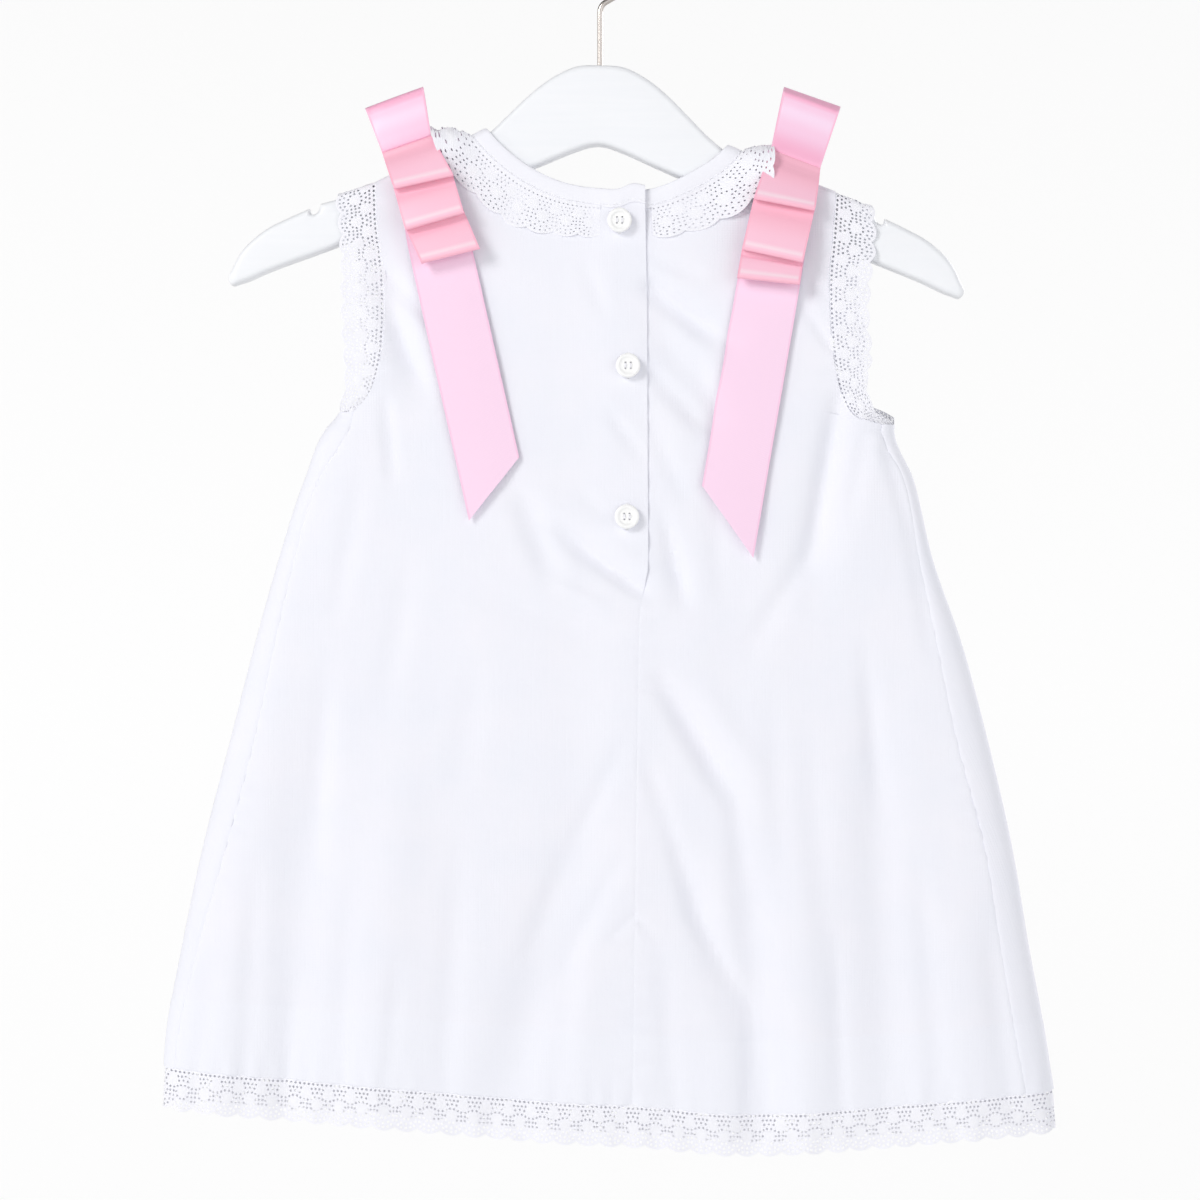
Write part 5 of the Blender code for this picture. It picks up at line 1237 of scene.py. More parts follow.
def lace_repeat(opening=1.0):
    """The repeat's points (along, across, half thickness) and triangles, with its holes cut. opening is how
    far the holes stay open: gathers draw them in."""
    points, edges, holes = [], [], []

    def outline(ring):
        first = len(points)
        points.extend(ring)
        edges.extend((first + k, first + (k + 1) % len(ring)) for k in range(len(ring)))

    def hole(along, across, wide, tall, corners=8):
        turns = (np.arange(corners) + 0.5) * 2 * math.pi / corners
        outline([(along + wide * math.cos(t), across + tall * math.sin(t), 0.6 * LACE_HALF) for t in turns])
        holes.append((along, across, wide, tall))

    for k in range(LADDER_HOLES):
        hole((k + 0.5) * LACE_REPEAT / LADDER_HOLES, LADDER_ACROSS, 0.58 * opening, 0.5 * opening)
    radius = EYELET_RADIUS * opening
    for eyelet in EYELETS:
        for way in (-1, 1) if eyelet.off else (1,):
            hole(LACE_REPEAT / 2 + way * eyelet.off, eyelet.across, radius, radius)
    for along in (0.0, LACE_REPEAT):
        column_points = [*SIDE_ACROSS, float(scallop(0.0)) - RIM_WIDTH, float(scallop(0.0))]
        first = len(points)
        points.extend((along, across, LACE_HALF) for across in column_points)
        edges.extend((first + k, first + k + 1) for k in range(len(column_points) - 1))
    rim = np.linspace(0.0, LACE_REPEAT, 15)[1:-1]
    points.extend((along, 0.0, LACE_HALF) for along in rim[::2])
    points.extend((along, 0.9, 1.3 * LACE_HALF) for along in rim[::2])
    points.extend((along, float(scallop(along)) - RIM_WIDTH / 2, 1.7 * LACE_HALF) for along in rim)
    first = len(points)
    points.extend((along, float(scallop(along)), 0.7 * LACE_HALF) for along in rim)
    edges.extend((first + k, first + k + 1) for k in range(len(rim) - 1))
    for spot in SPOTS:
        points.append((spot.along, spot.across, 1.9 * LACE_HALF))
        for share, count, half in SPOT_RINGS:
            for t in np.arange(count) * 2 * math.pi / count + 0.2:
                along = spot.along + share * spot.radius * math.cos(t)
                if 0.15 < along < LACE_REPEAT - 0.15:
                    points.append((along, spot.across + share * spot.radius * math.sin(t), half * LACE_HALF))
    return cut_out(np.array(points), edges, holes)


def cut_out(points, edges, holes):
    """The triangles between these points, without those in a hole or past the scallops."""
    flat = [Vector(point[:2]) for point in points]
    verts, _, faces, origin, _, _ = geometry.delaunay_2d_cdt(flat, edges, [], 0, 1e-5)
    half = np.array([points[ids[0], 2] if ids else LACE_HALF for ids in origin])
    verts, faces = np.array([tuple(v) for v in verts]), np.array([tuple(face) for face in faces])
    middle = verts[faces].mean(axis=1)
    kept = middle[:, 1] < scallop(middle[:, 0])
    for along, across, wide, tall in holes:
        kept &= ((middle[:, 0] - along) / wide) ** 2 + ((middle[:, 1] - across) / tall) ** 2 > 0.93
    return np.column_stack([verts, half]), faces[kept]


FLAT_REPEAT = lace_repeat()
GATHERED_REPEAT = lace_repeat(0.64)


def read_grid(grid, row, station):
    """A grid read at fractional rows and stations."""
    i = np.clip(row.astype(int), 0, grid.shape[0] - 2)
    j = np.clip(station.astype(int), 0, grid.shape[1] - 2)
    s, t = (row - i)[..., None], (station - j)[..., None]
    near = grid[i, j] * (1 - t) + grid[i, j + 1] * t
    far = grid[i + 1, j] * (1 - t) + grid[i + 1, j + 1] * t
    return near * (1 - s) + far * s


def lay_lace(name, grid, run, shares, fullness=1.0, repeat=FLAT_REPEAT):
    """Lays whole repeats along a strip. shares says where each row of the grid lies across the lace, and
    fullness how much longer the lace is than the edge it is gathered to."""
    repeat_points, repeat_faces = repeat
    count = max(1, round(fullness * abs(run[-1] - run[0]) / LACE_REPEAT))
    along = (repeat_points[:, 0][None] / LACE_REPEAT + np.arange(count)[:, None]) / count
    across = np.broadcast_to(repeat_points[:, 1] / LACE_WIDTH, along.shape)
    station = np.interp(along, (run - run[0]) / (run[-1] - run[0]), np.arange(len(run)))
    row = np.interp(across, shares, np.arange(len(shares)))
    points = read_grid(grid, row, station).reshape(-1, 3)
    faces = (repeat_faces[None] + (np.arange(count) * len(repeat_points))[:, None, None]).reshape(-1, 3)
    half = np.tile(repeat_points[:, 2], count)
    raised = np.clip((half - LACE_HALF) / (2 * LACE_HALF), 0.0, 1.0)
    threads = np.stack([along.ravel() * count * LACE_REPEAT, across.ravel() * LACE_WIDTH, raised], axis=-1)
    points, faces, threads, half = welded(points, faces, threads, half)
    piece = add_sheet(name, points, faces, half, LACE, threads)
    return piece


# Where the rows of a strip of lace lie across it, and how far it goes in under the edge it is sewn to.
LACE_ROWS = np.array([0.0, 0.08, 0.2, 0.35, 0.52, 0.7, 0.86, 1.0])
LACE_SEWN_IN = 0.9


def neck_lace():
    """The gathered lace at the neck: it rises from its seam and stands highest over the bows' edges."""
    stations = neck_path(LACE_STATION)
    back = stations["layer"] == BACK
    first_half = np.arange(len(back)) < len(back) // 2
    within = np.where(first_half, stations["x"] < NECK_LACE_STARTS_X, stations["x"] > NECK_LACE_ENDS_X)
    stations = {name: values[~back | within] for name, values in stations.items()}
    sewn_at = BINDING_WIDTH - 0.8
    flat = neck_grid(stations, [sewn_at, sewn_at + 2.0])
    outward = away_along(flat, stations)[0]
    seam = flat[0] + outward * LACE_LIFT
    run = stations["run"]
    turn = np.radians(stations["lace_turn"])
    reach = stations["lace_reach"] + 1.0
    gathers = run / RUFFLE_LENGTH + 0.35 * np.sin(run / 21.0) + 0.12 * np.sin(run / 8.3)
    ruffle = RUFFLE_HEIGHT * (1 + np.sin(2 * math.pi * gathers)) * (0.8 + 0.3 * np.sin(run / 33.0))
    rows = [seam]
    backward = shoulder_round(seam[:, 0], seam[:, 2])
    upward = np.sqrt(1 - backward**2)
    for out in LACE_ROWS[1:]:
        stand = float(np.interp(out, (0.0, 0.4, 1.0), (0.0, 0.7, 1.0)))
        wave = float(np.interp(out, (0.0, 0.35, 1.0), (0.05, 0.40, 1.0)))
        x = seam[:, 0] + out * reach * np.cos(turn)
        z = seam[:, 2] + out * reach * np.sin(turn)
        row = lap_at_neck(on_cloth(stations["layer"], x, z, creased=False)[None], stations)[0]
        lift = float(np.interp(out, (0.0, 0.14, 1.0), (LACE_LIFT, LACE_LIFT_ON_CLOTH, LACE_LIFT_ON_CLOTH)))
        raised = np.maximum(stations["lace_stand"] - 0.8, 0.0)
        height = lift + stand * raised + wave * ruffle * (0.3 + 0.7 * smoothstep(0.4, 2.5, raised))
        base = np.maximum(np.abs(row[:, 1]), np.abs(flat[0][:, 1]) - 0.6 * out)
        row[:, 1] = stations["layer"] * (base + height * backward)
        row[:, 2] += height * upward
        rows.append(row)
    piece = lay_lace("lace_neck", np.stack(rows), run, LACE_ROWS,
                     NECK_LACE_FULLNESS, GATHERED_REPEAT)
    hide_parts("neck_lace")


def armhole_lace(side):
    """The lace round one armhole, from the underarm up the back, over the shoulder and down the front."""
    parts = []
    for layer in (BACK, FRONT):
        rows = ARMHOLES[side, layer]
        at = even_steps(rows, LACE_STATION, ridge_first=True)
        found = read_path(rows, ("x", "z", "lace_turn", "lace_reach"), at)
        parts.append(np.stack([*found.values(), at if layer == FRONT else -at, np.full(len(at), layer)]))
    x, z, turn, reach, run, layer = np.concatenate([parts[0][:, ::-1], parts[1][:, 1:]], axis=1)
    turn = np.radians(turn)
    rows = []
    for share in LACE_ROWS:
        distance = -LACE_SEWN_IN + share * (reach + 0.4 + LACE_SEWN_IN)
        point = on_cloth(layer, x + distance * np.cos(turn), z + distance * np.sin(turn), creased=False)
        flutter = 0.55 * share * np.sin(2 * math.pi * run / 17.0 + 1.1 * np.sin(run / 13.0))
        tucked = -0.45 * smoothstep(0.12, 0.0, share)
        point[:, 1] += layer * (flutter + tucked) * shoulder_round(x, z)
        rows.append(point)
    piece = lay_lace("lace_armhole_" + side, np.stack(rows), run, LACE_ROWS)
    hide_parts("armhole_lace_" + side)


def hem_lace(layer, name, node_name):
    """The lace along the hem: one length on the back panels, one on the front from seam to seam."""
    width = float(section("fold_right", HEM_MIDDLE_Z) - section("fold_left", HEM_MIDDLE_Z))
    shares = np.linspace(0, 1, round(width / LACE_STATION) + 1)
    rows = []
    for across_share in LACE_ROWS:
        drop = -LACE_SEWN_IN + across_share * (HEM_LACE_WIDTH + LACE_SEWN_IN + SEAM_GAP)
        height = np.full(len(shares), HEM_MIDDLE_Z)
        # The places across depend on the height and the height on them, so both are found by turns.
        for _ in range(3):
            left, right = (section("fold_" + side, height) for side in ("left", "right"))
            seam_left, seam_right = (section("seam_" + side, height) for side in ("left", "right"))
            if layer == FRONT:
                seam_left, seam_right = 2 * left - seam_left, 2 * right - seam_right
            across = seam_left + shares * (seam_right - seam_left)
            seen_x = np.clip(across, left, right) * 2 - across
            side = np.where(seen_x == across, layer, BACK)
            edge = np.where(side == FRONT, hem_z(seen_x, FRONT), hem_z(seen_x))
            height = edge - drop
        point = on_cloth(layer, across, height)
        flutter = 0.5 * across_share * np.sin(shares * width / 2.9 + 1.2 * np.sin(shares * width / 11.0))
        tucked = -0.35 * float(smoothstep(0.12, 0.0, across_share))
        point[:, 1] += side * (flutter + tucked)
        rows.append(point)
    piece = lay_lace(name, np.stack(rows), shares * width, LACE_ROWS)
    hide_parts(node_name)


# ---------------------------------------------------------------------------------------------
# Satin bows
# ---------------------------------------------------------------------------------------------


def ribbon_threads(across, along):
    """Across and along the ribbon, and how far in from the nearer selvedge."""
    across, along = np.broadcast_arrays(across, along)
    return np.stack([across, along, RIBBON_WIDTH / 2 - np.abs(across)], axis=-1)


def bow_tails(side):
    """One length of ribbon over the shoulder, with a slanting cut at each end."""
    ridge_x = TAIL_RIDGE_X[side]
    slope = float(straight(SHOULDER, "x", "z", ridge_x + 1) - straight(SHOULDER, "x", "z", ridge_x))
    shares = np.array([-0.5, -0.485, -0.46, *np.linspace(-0.42, 0.42, 11), 0.46, 0.485, 0.5])
    columns = shares * RIBBON_WIDTH
    grids = []
    for tail in TAILS[side]:
        lean = math.radians(tail.lean)
        cut = (tail.longest - tail.shortest) * (0.5 - tail.long_side * shares)
        longest = tail.longest - cut
        even = np.linspace(RIDGE_STEPS[-1] + 1.5, tail.longest, round(tail.longest / 2.0))
        length = longest[None] * np.array([0.0, *RIDGE_STEPS, *even])[:, None] / tail.longest
        gathered = 1 - TAIL_GATHER * smoothstep(TAIL_GATHER_LENGTH, 0.0, length)
        crossing = ridge_x + columns * gathered / (math.cos(lean) + slope * math.sin(lean))
        x = crossing + length * math.sin(lean)
        z = straight(SHOULDER, "x", "z", crossing) - length * math.cos(lean)
        points = on_cloth(tail.layer, x, z, creased=False)
        cupped = 0.55 * (2 * shares[None]) ** 2 * smoothstep(20.0, 60.0, length)
        lifted = 0.7 * smoothstep(0.35, 1.0, length / longest[None]) * np.sin(length / 21.0 + 0.6) ** 2
        points[..., 1] += tail.layer * (lifted - cupped + 0.45)
        grids.append((points, length))
    back, front = grids
    points = np.concatenate([back[0][:0:-1], front[0]])
    along = np.concatenate([-back[1][:0:-1], front[1]])
    normals = grid_normals(points)
    outward = np.sign(normals[0, 0, 1] * points[0, 0, 1])
    points = points + normals * outward * TAIL_LIFT
    threads = ribbon_threads(columns[None], along)
    piece = cloth_piece(f"ribbon_{side}_tails", [(points, threads)], RIBBON_HALF, SATIN["tails"])
    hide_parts(f"bow_{side}_tails")


def loop_rest_y(x, z):
    """Where the outer face of the tails lies, and where the loops go on above the shoulder."""
    above = -below_shoulder(x, z)
    outer = section("half_depth", z) - pressed_in(FOLDS[BACK], x, z) + 2.45
    return -outer * through(column(LOOP_LEAN, "above"), column(LOOP_LEAN, "share"), above)


def round_curve(values, steps):
    """A closed smooth curve through some values, read at even steps."""
    count = len(values)
    padded = np.concatenate([values[-3:], values, values[:3]])
    return through(np.arange(-3, count + 3), padded, np.arange(count * steps) / steps)


# The column of a loop's points, not far from its middle, along which its length is taken.
LENGTH_COLUMN = 5


def bow_loop(name, node_name, upper, lower, ring, twist, satin):
    """A loop of ribbon between two joints of a bow: it comes out of the joint above and rolls over below."""
    length = math.hypot(upper.x - lower.x, upper.z - lower.z)
    reached = np.array([(point.start + point.share * length) / length for point in ring])
    share = round_curve(reached, 6)[:, None]
    height = round_curve(column(ring, "height"), 6)[:, None]
    inside = np.clip(share, 0.0, 1.0)
    slant = np.radians(upper.slant + inside * (lower.slant - upper.slant))
    width = upper.width + inside * (lower.width - upper.width)
    shares = np.array([-0.5, -0.485, -0.455, *np.linspace(-0.41, 0.41, 9), 0.455, 0.485, 0.5])[None]
    across = shares * width
    x = upper.x + share * (lower.x - upper.x) + across * np.cos(slant)
    z = upper.z + share * (lower.z - upper.z) + across * np.sin(slant)
    crown = 0.35 * (1 - (2 * shares) ** 2) * (height > height.mean()) + twist * shares * inside
    y = loop_rest_y(x, z) - height - crown
    points = np.stack([x, y, z], axis=-1)
    line = points[:, LENGTH_COLUMN]
    along = run_along(line)
    # Measured from the crown of the fold, so that the satin's painted highlight and painted shade fall beside
    # the roll.
    from_fold = along - along[np.argmax(height)]
    threads = ribbon_threads(across * RIBBON_WIDTH / width, from_fold[:, None])
    quads = grid_faces(*points.shape[:2], round_rows=True)
    flat, faces, kept = welded(points.reshape(-1, 3), quads, threads.reshape(-1, 3))
    piece = add_sheet(name, flat, faces, RIBBON_HALF, satin, kept)
    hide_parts(node_name)


def bow(side):
    """One bow: its tails over the shoulder, its standing loop, and its stepped loops one below another."""
    joints = BOWS[side]
    bow_tails(side)
    bow_loop(f"ribbon_{side}_standing", f"bow_{side}_standing_loop", joints[0], joints[1],
             STANDING_RING[side], 0.3, SATIN["standing"])
    for number in range(1, len(joints) - 1):
        bow_loop(f"ribbon_{side}_loop_{number}", f"bow_{side}_loop_{number}", joints[number],
                 joints[number + 1], STEPPED_RING, 0.4 * (-1) ** number, SATIN["loops"])


# ---------------------------------------------------------------------------------------------
# Sewing
# ---------------------------------------------------------------------------------------------


# Threads are round, so their edges are sharp only at their ends.
THREAD_SHARP = 80.0


def stitches(name, path, normals, length=2.3, gap=0.45, radius=0.17):
    """A row of machine stitches along a path, each a short thread that dips in at both ends."""
    run = run_along(path)

    def read(values, at):
        return np.stack([np.interp(at, run, values[:, k]) for k in range(3)], -1)

    starts = np.arange(0.8, run[-1] - length, length + gap)
    along = np.array([0.0, 0.12, 0.35, 0.65, 0.88, 1.0])
    swell = np.array([0.35, 0.85, 1.0, 1.0, 0.85, 0.35])
    dip = np.array([-0.22, 0.0, 0.08, 0.08, 0.0, -0.22])
    at = starts[:, None] + along[None] * length
    normal = read(normals, at)
    ahead = read(path, at + 0.2) - read(path, at - 0.2)
    ahead = ahead / np.linalg.norm(ahead, axis=-1, keepdims=True)
    centre = read(path, at) + normal * dip[None, :, None]
    rows, sides = len(along), 6
    points = rings(centre, np.cross(normal, ahead), normal, radius * swell, sides)
    one = [*grid_faces(rows, sides, round_columns=True).tolist(), *end_caps(rows, sides)]
    faces = repeated(one, rows * sides, len(starts))
    piece = add_piece(name, points.reshape(-1, 3), faces, THREAD, sharp=THREAD_SHARP)


def surface_frame(place_on, x, z, step=2.0):
    """The middle of the cloth at a place, and its across, up and outward directions there."""
    centre = Vector(place_on(x, z))
    across = Vector(place_on(x + step, z)) - Vector(place_on(x - step, z))
    up = Vector(place_on(x, z + step)) - Vector(place_on(x, z - step))
    outward = across.cross(up).normalized()
    across = up.cross(outward).normalized()
    return centre, across, outward.cross(across), outward


def lapped_back(x, z):
    """The back where the placket's edges lap."""
    return lapping(on_cloth(BACK, x, z, creased=False))


def seated(name, points, faces, material, centre, turn, sharp=50.0):
    """A small piece made about its own middle, put in place on the cloth."""
    placed = np.array([tuple(turn @ Vector(point) + centre) for point in points])
    return add_piece(name, placed, faces, material, sharp=sharp)


BUTTON_LIFT = 1.05
BUTTON_RADIUS = 5.2
BUTTON_THICKNESS = 2.4
BUTTON_HOLE_RADIUS = 0.45
BUTTON_HOLE_PITCH = 2.2
BUTTON_FACE = table(
    "ButtonPoint", "radius height",
    (1.0, 0.62), (0.985, 0.76), (0.95, 0.87), (0.90, 0.955), (0.85, 0.99), (0.80, 1.0), (0.75, 0.985),
    (0.70, 0.93), (0.66, 0.86), (0.61, 0.80), (0.56, 0.77), (0.50, 0.76),
)
BUTTON_BACK = table(
    "ButtonPoint", "radius height",
    (1.0, 0.62), (0.985, 0.45), (0.95, 0.27), (0.89, 0.11), (0.80, 0.02), (0.70, 0.0), (0.50, 0.0),
)


def button_mesh():
    """A four-hole shirt button: a raised rim round a sunk middle, its holes cut through."""
    segments, corners, half = 48, 14, BUTTON_HOLE_PITCH / 2
    spots = [(i * half, j * half) for i in (-1, 1) for j in (-1, 1)]
    turns = np.arange(segments) * 2 * math.pi / segments
    circle = np.column_stack([np.cos(turns), np.sin(turns)])
    inner = BUTTON_FACE[-1].radius * BUTTON_RADIUS
    flat = [Vector(point) for point in inner * circle]
    edges = [(k, (k + 1) % segments) for k in range(segments)]
    for x, y in spots:
        first = len(flat)
        ring = np.arange(corners) * 2 * math.pi / corners
        flat += [Vector((x + BUTTON_HOLE_RADIUS * math.cos(t), y + BUTTON_HOLE_RADIUS * math.sin(t)))
                 for t in ring]
        edges += [(first + k, first + (k + 1) % corners) for k in range(corners)]
    flat.append(Vector((0.0, 0.0)))
    verts, _, faces, _, _, _ = geometry.delaunay_2d_cdt(flat, edges, [], 0, 1e-6)
    verts, faces = np.array([tuple(v) for v in verts]), np.array([tuple(face) for face in faces])
    middle = verts[faces].mean(axis=1)
    from_spots = [np.hypot(middle[:, 0] - x, middle[:, 1] - y) for x, y in spots]
    faces = faces[np.min(from_spots, axis=0) > BUTTON_HOLE_RADIUS]
    count, rim = len(verts), open_edges(faces)
    holes = rim[np.hypot(*verts[rim[:, 0]].T) <= inner - 1e-3]
    walls = np.column_stack([holes[:, 1], holes[:, 0], holes[:, 0] + count, holes[:, 1] + count])
    parts = [np.column_stack([verts, np.full(count, rows[-1].height * BUTTON_THICKNESS)])
             for rows in (BUTTON_FACE, BUTTON_BACK)]
    lathe = [*BUTTON_FACE[-1::-1], *BUTTON_BACK[1:]]
    parts += [np.column_stack([row.radius * BUTTON_RADIUS * circle,
                               np.full(segments, row.height * BUTTON_THICKNESS)]) for row in lathe]
    turned = grid_faces(len(lathe), segments, round_columns=True)[:, [0, 3, 2, 1]] + 2 * count
    all_faces = [face for part in (faces, faces[:, ::-1] + count, walls, turned) for face in part.tolist()]
    _, first_at, index = np.unique(np.round(np.concatenate(parts), 4), axis=0, return_index=True,
                                   return_inverse=True)
    index = index.reshape(-1)
    return np.concatenate(parts)[first_at], [[int(index[k]) for k in face] for face in all_faces]


def thread_bars(half):
    """Two bars of thread between the holes, each of three strands bowed up in the middle."""
    steps, sides = 9, 6
    t = np.linspace(0.0, 1.0, steps)
    y = -half + 2 * half * t
    z = 1.8 + 0.2 * np.sin(math.pi * t) ** 0.6 - 0.5 * np.abs(2 * t - 1) ** 8
    strands = [bar + strand for bar in (-half, half) for strand in (-0.3, 0.0, 0.3)]
    centres = np.array([np.column_stack([np.full(steps, x), y, z]) for x in strands])
    points = rings(centres, np.array((1.0, 0.0, 0.0)), np.array((0.0, 0.0, 1.0)), 0.21, sides)
    faces = repeated(grid_faces(steps, sides, round_columns=True).tolist(), steps * sides, len(strands))
    return points.reshape(-1, 3), faces


def buttons():
    """Three buttons sewn on with two bars of thread each, over their worked buttonholes."""
    points, faces = button_mesh()
    bars, bar_faces = thread_bars(BUTTON_HOLE_PITCH / 2)
    for place in BUTTONS:
        centre, across, up, outward = surface_frame(lapped_back, place.x, place.z)
        turn = Matrix((across, up, outward)).transposed()
        seat = centre + outward * BUTTON_LIFT
        piece = seated("sewn_" + place.name, points, faces, BUTTON, seat, turn)
        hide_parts(place.name)
        thread = seated("thread_" + place.name, bars, bar_faces, THREAD, seat, turn, THREAD_SHARP)
        buttonhole("hole_of_" + place.name, centre, turn)


def buttonhole(name, centre, turn):
    """A worked buttonhole: close satin stitches round an upright slit, mostly under its button."""
    length, wide, bead, count, sides = 11.2, 0.9, 0.3, 72, 6
    t = 2 * math.pi * np.arange(count) / count
    cos, sin, flat = np.cos(t), np.sin(t), np.zeros(count)
    slit = np.column_stack([wide * np.copysign(np.abs(cos) ** 0.55, cos),
                            length / 2 * np.copysign(np.abs(sin) ** 0.9, sin),
                            flat + CLOTH_HALF + 0.05])
    away = np.column_stack([cos, sin * wide / length * 2, flat])
    away = away / np.linalg.norm(away, axis=1, keepdims=True)
    # Every other stitch stands a little higher.
    beads = bead * np.where(np.arange(count) % 2, 1.0, 0.86)
    points = rings(slit, away, np.array((0.0, 0.0, 0.6)), beads, sides).reshape(-1, 3)
    faces = grid_faces(count, sides, True, True)
    seated(name, points, faces, THREAD, centre, turn, THREAD_SHARP)


# ---------------------------------------------------------------------------------------------
# Hanger
# ---------------------------------------------------------------------------------------------


def hanger_outline():
    """The closed outline of the wooden body, anticlockwise, in its own frame."""
    top_x = np.concatenate([np.linspace(0, 60, 40), np.linspace(62, NOTCH_X - NOTCH_WIDTH / 2, 20)])
    half = [(float(x), float(through(column(HANGER_TOP, "x"), column(HANGER_TOP, "z"), x))) for x in top_x]
    notch_z = (HANGER_TOP[-1].z + HANGER_END[0].z) / 2
    for t in np.linspace(0.0, math.pi, 9)[1:-1]:
        depth = NOTCH_DEPTH * math.sin(t) ** 0.8
        half.append((NOTCH_X - NOTCH_WIDTH / 2 * math.cos(t), notch_z - depth - math.cos(t) * -1.0))
    half += smooth_run((*HANGER_END, *HANGER_UNDER), 5)
    mirrored = [(-x, z) for x, z in half[-2:0:-1]]
    return half + mirrored


def smooth_run(rows, steps):
    """A table's points with smooth ones between them, by length along it."""
    run = run_of(rows)
    at = np.interp(np.arange((len(rows) - 1) * steps + 1) / steps, np.arange(len(rows)), run)
    found = read_path(rows, ("x", "z"), at)
    return [(float(x), float(z)) for x, z in zip(found["x"], found["z"])]


def inset(outline, distance, steps=10):
    """The outline moved inwards by a distance, a little at a time so that it stays free of loops."""
    for _ in range(steps):
        ahead = np.roll(outline, -1, axis=0) - np.roll(outline, 1, axis=0)
        ahead = ahead / np.maximum(np.linalg.norm(ahead, axis=1, keepdims=True), 1e-9)
        outline = outline + np.stack([ahead[:, 1], -ahead[:, 0]], axis=1) * distance / steps
        outline = 0.8 * outline + 0.1 * (np.roll(outline, 1, axis=0) + np.roll(outline, -1, axis=0))
    return outline


# Past this distance from the middle, the inner outline is smoothed, as it runs together at the tips.
HANGER_TIP_X = 148.0


def hanger():
    """The wooden body with well rounded edges, and the wire hook that is driven into its top."""
    outline = np.array(hanger_outline())
    inner = inset(outline, HANGER_ROUNDING)
    tips = np.abs(inner[:, 0]) > HANGER_TIP_X
    for _ in range(40):
        inner[tips] = (np.roll(inner, 1, axis=0) + np.roll(inner, -1, axis=0))[tips] / 2
    half, size = HANGER_THICKNESS / 2, len(outline)
    turns = np.linspace(math.pi / 2, 0.0, 7)
    sections = [(1 - math.cos(t), -half + HANGER_ROUNDING * (1 - math.sin(t))) for t in turns]
    sections += [(share, -y) for share, y in sections[::-1]]
    tilt = Matrix.Translation((0, 0, HANGER_TOP_Z)) @ Matrix.Rotation(HANGER_TILT, 4, "Y")
    points = [tilt @ Vector((x, y, z)) for share, y in sections
              for x, z in outline + (inner - outline) * share]
    faces = grid_faces(len(sections), size, round_columns=True).tolist()
    flat = [Vector(point) for point in inner]
    _, _, filled, origin, _, _ = geometry.delaunay_2d_cdt(flat, [], [list(range(size))], 1, 1e-5)
    last = size * (len(sections) - 1)
    for face in filled:
        ring = [origin[k][0] for k in face]
        faces += [ring, [last + k for k in ring[::-1]]]
    points = np.array([tuple(point) for point in points])
    body = add_piece("wooden_hanger", points, faces, WOOD, sharp=35.0)
    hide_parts("hanger_body")
    hook = add_piece("steel_hook", *wire(hook_path(), HOOK_WIRE_RADIUS, 16), STEEL, sharp=60.0)
    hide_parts("hanger_hook")


def hook_path():
    """The wire from its root in the wood, up, out to the right and round over the top."""
    centre_z = HOOK_WIRE_RADIUS - HOOK_RADIUS
    leave_x = HOOK_RADIUS * math.cos(HOOK_LEAVES_AT)
    leave_z = centre_z + HOOK_RADIUS * math.sin(HOOK_LEAVES_AT)
    heading = HOOK_LEAVES_AT + math.pi / 2
    swing = math.pi / 2 - heading
    kink_x = HOOK_KINK_RADIUS * (1 - math.cos(swing))
    straight_run = (leave_x - kink_x) / math.cos(heading)
    kink_z = leave_z - straight_run * math.sin(heading) - HOOK_KINK_RADIUS * math.sin(swing)
    path = [(0.0, z) for z in np.linspace(HANGER_TOP_Z - HOOK_ROOT_DEPTH, kink_z, 12)]
    for angle in np.linspace(0, swing, 12)[1:]:
        path.append((HOOK_KINK_RADIUS * (1 - math.cos(angle)), kink_z + HOOK_KINK_RADIUS * math.sin(angle)))
    for angle in np.linspace(HOOK_LEAVES_AT, HOOK_ENDS_AT, 72):
        path.append((HOOK_RADIUS * math.cos(angle), centre_z + HOOK_RADIUS * math.sin(angle)))
    return np.array([(x, 0.0, z) for x, z in path])


def wire(path, radius, sides):
    """A round wire along a path in the plane y = 0, with a rounded end."""
    ahead = np.gradient(path, axis=0)
    ahead = ahead / np.linalg.norm(ahead, axis=1, keepdims=True)
    beside = np.cross(ahead, (0.0, 1.0, 0.0))
    tip = [(path[-1] + ahead[-1] * radius * math.sin(t), radius * math.cos(t)) for t in (0.5, 1.0, 1.35)]
    centres = np.array([*path, *[centre for centre, _ in tip]])
    beside = np.concatenate([beside, np.repeat(beside[-1:], len(tip), axis=0)])
    radii = np.array([radius] * len(path) + [r for _, r in tip])
    points = rings(centres, beside, np.array((0.0, 1.0, 0.0)), radii, sides).reshape(-1, 3)
    rows = len(centres)
    return points, [*grid_faces(rows, sides, round_columns=True).tolist(), *end_caps(rows, sides)]


# ---------------------------------------------------------------------------------------------
# Studio
# ---------------------------------------------------------------------------------------------


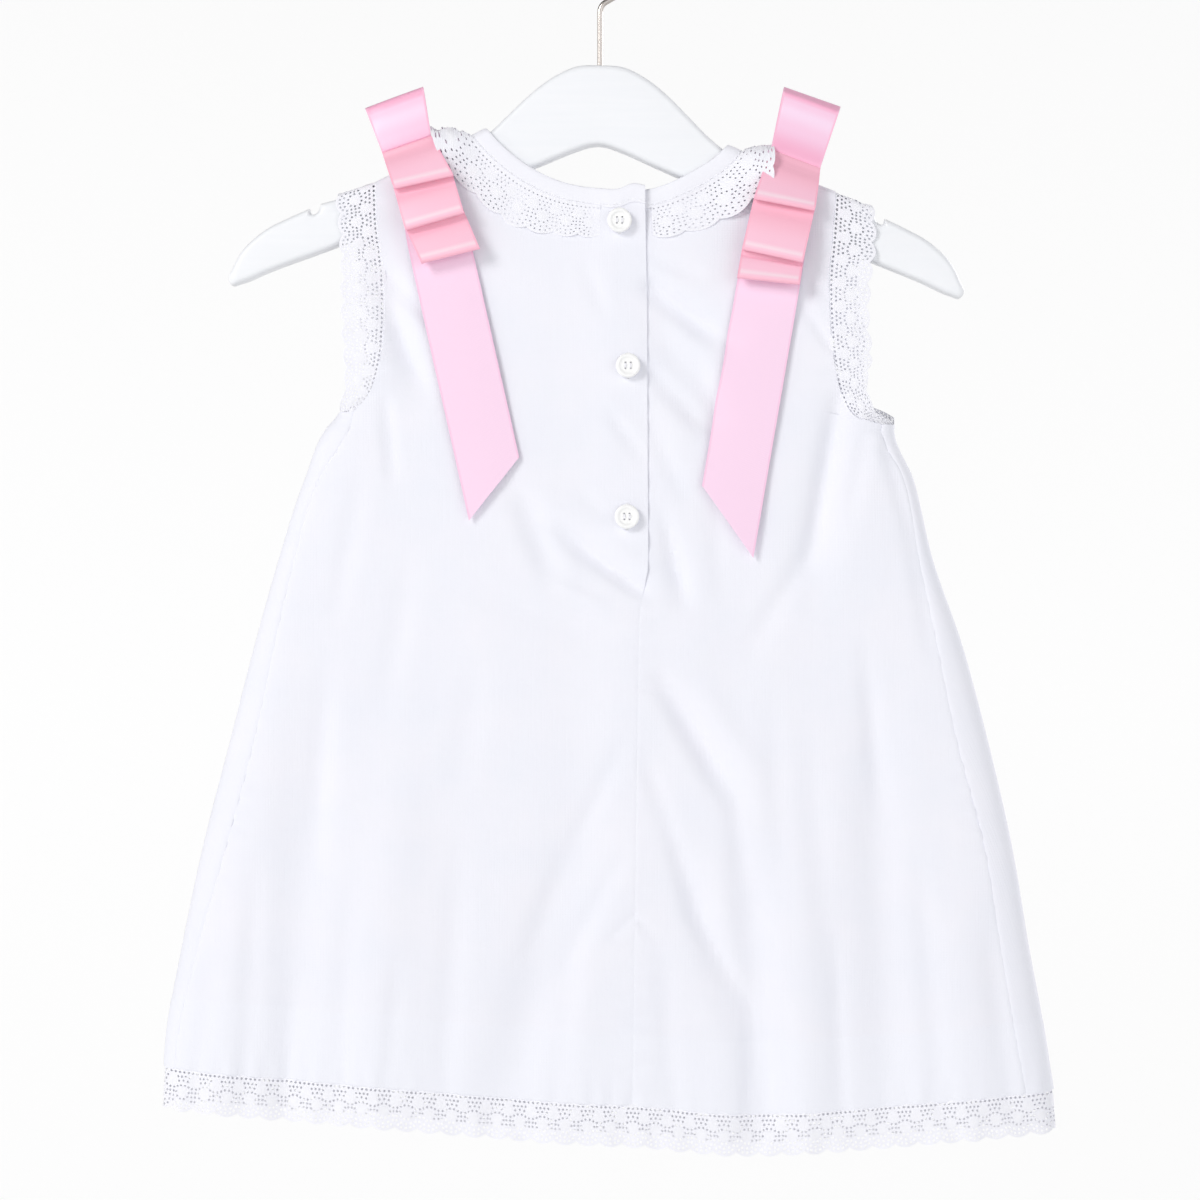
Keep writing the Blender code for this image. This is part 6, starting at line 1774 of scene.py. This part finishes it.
def studio():
    """A seamless pale bowl: a floor that sweeps up into a wall all round."""
    floor_z, radius, sweep, wall_top = -2300.0, 5200.0, 1800.0, 1900.0
    profile = [(r, floor_z) for r in (0.0, 1200.0, radius - sweep)]
    profile += [(radius - sweep + sweep * math.sin(t), floor_z + sweep * (1 - math.cos(t)))
                for t in np.linspace(0, math.pi / 2, 14)[1:]]
    profile.append((radius, wall_top))
    segments = 96
    points = [(r * math.cos(a), r * math.sin(a), z) for r, z in profile
              for a in np.arange(segments) * 2 * math.pi / segments]
    # The first ring has no width, so the floor's middle is one disc in the second ring.
    faces = grid_faces(len(profile), segments, round_columns=True)[segments:].tolist()
    faces.append(list(range(segments, 2 * segments)))
    paper, tree, shader = finish("seamless_paper", Roughness=0.95, Specular_IOR_Level=0.1,
                                 Base_Color=linear("#939393"), Emission_Color=linear("#FFFFFF"))
    place = node(tree, "ShaderNodeTexCoord").outputs["Object"]
    height = node(tree, "ShaderNodeSeparateXYZ", {"Vector": place}).outputs["Z"]
    # The floor glows least, and the glow grows up to 0.75 m over it.
    glow = node(tree, "ShaderNodeMapRange", {"Value": height, "From Min": -2.3, "From Max": -1.55,
                                             "To Min": 0.52, "To Max": 0.775},
                interpolation_type="SMOOTHSTEP")
    tree.links.new(glow.outputs[0], shader.inputs["Emission Strength"])
    add_mesh("studio_bowl", points, faces, paper)


Softbox = namedtuple("Softbox", "name place size watts colour")
SOFTBOXES = (
    Softbox("key", (-2.0, -2.1, 1.2), 1.1, 44.0, "#FFFEFC"),
    Softbox("fill", (2.2, -2.4, 0.4), 2.2, 11.0, "#F8FAFF"),
    Softbox("top", (0.2, 0.2, 2.6), 1.6, 6.0, "#FFFFFF"),
    Softbox("behind", (2.3, 1.9, 1.0), 1.2, 36.0, "#FFFFFF"),
)
AIR_COLOUR, AIR_STRENGTH = "#FBFCFF", 0.14
LIGHTS_AIM_AT = (0.0, 0.0, -0.29)


def lights():
    """The softboxes, each turned to the middle of the dress, and a little light from all round."""
    target = Vector(LIGHTS_AIM_AT)
    for box in SOFTBOXES:
        lamp = bpy.data.lights.new(box.name, "AREA")
        lamp.energy, lamp.size = box.watts, box.size
        lamp.color = linear(box.colour)[:3]
        stand = bpy.data.objects.new(box.name, lamp)
        stand.location = box.place
        stand.rotation_euler = (target - Vector(box.place)).to_track_quat("-Z", "Y").to_euler()
        stand.visible_camera = False
        bpy.context.scene.collection.objects.link(stand)
    world = bpy.data.worlds.new("studio_air")
    world.use_nodes = True
    background = world.node_tree.nodes["Background"]
    background.inputs["Color"].default_value = linear(AIR_COLOUR)
    background.inputs["Strength"].default_value = AIR_STRENGTH
    bpy.context.scene.world = world
    bpy.context.scene.view_settings.view_transform = "Standard"


# The camera stands square to the back, level with its middle, and takes in 0.504 m at 1.3 m.
SENSOR_WIDTH = 36.0
SEEN_WIDTH, SEEN_FROM = 0.504, 1.3
CAMERA_AT = (0.0, -1.307, -0.2864)


def camera():
    lens = bpy.data.cameras.new("camera")
    lens.sensor_width, lens.lens = SENSOR_WIDTH, SENSOR_WIDTH * SEEN_FROM / SEEN_WIDTH
    lens.clip_end = 100.0
    eye = bpy.data.objects.new("camera", lens)
    eye.location = CAMERA_AT
    eye.rotation_euler = (math.pi / 2, 0.0, 0.0)
    bpy.context.scene.collection.objects.link(eye)
    bpy.context.scene.camera = eye


# ---------------------------------------------------------------------------------------------
# The whole
# ---------------------------------------------------------------------------------------------

camera()
lights()
studio()
back_panel("left")
back_panel("right")
front_panel()
binding_seam, binding_out = neck_binding()
neck_lace()
armhole_lace("left")
armhole_lace("right")
hem_lace(BACK, "lace_hem_back", "hem_lace_back")
hem_lace(FRONT, "lace_hem_front", "hem_lace_front")
bow("left")
bow("right")
stitches("stitches_binding", binding_seam, binding_out)
buttons()
hanger()
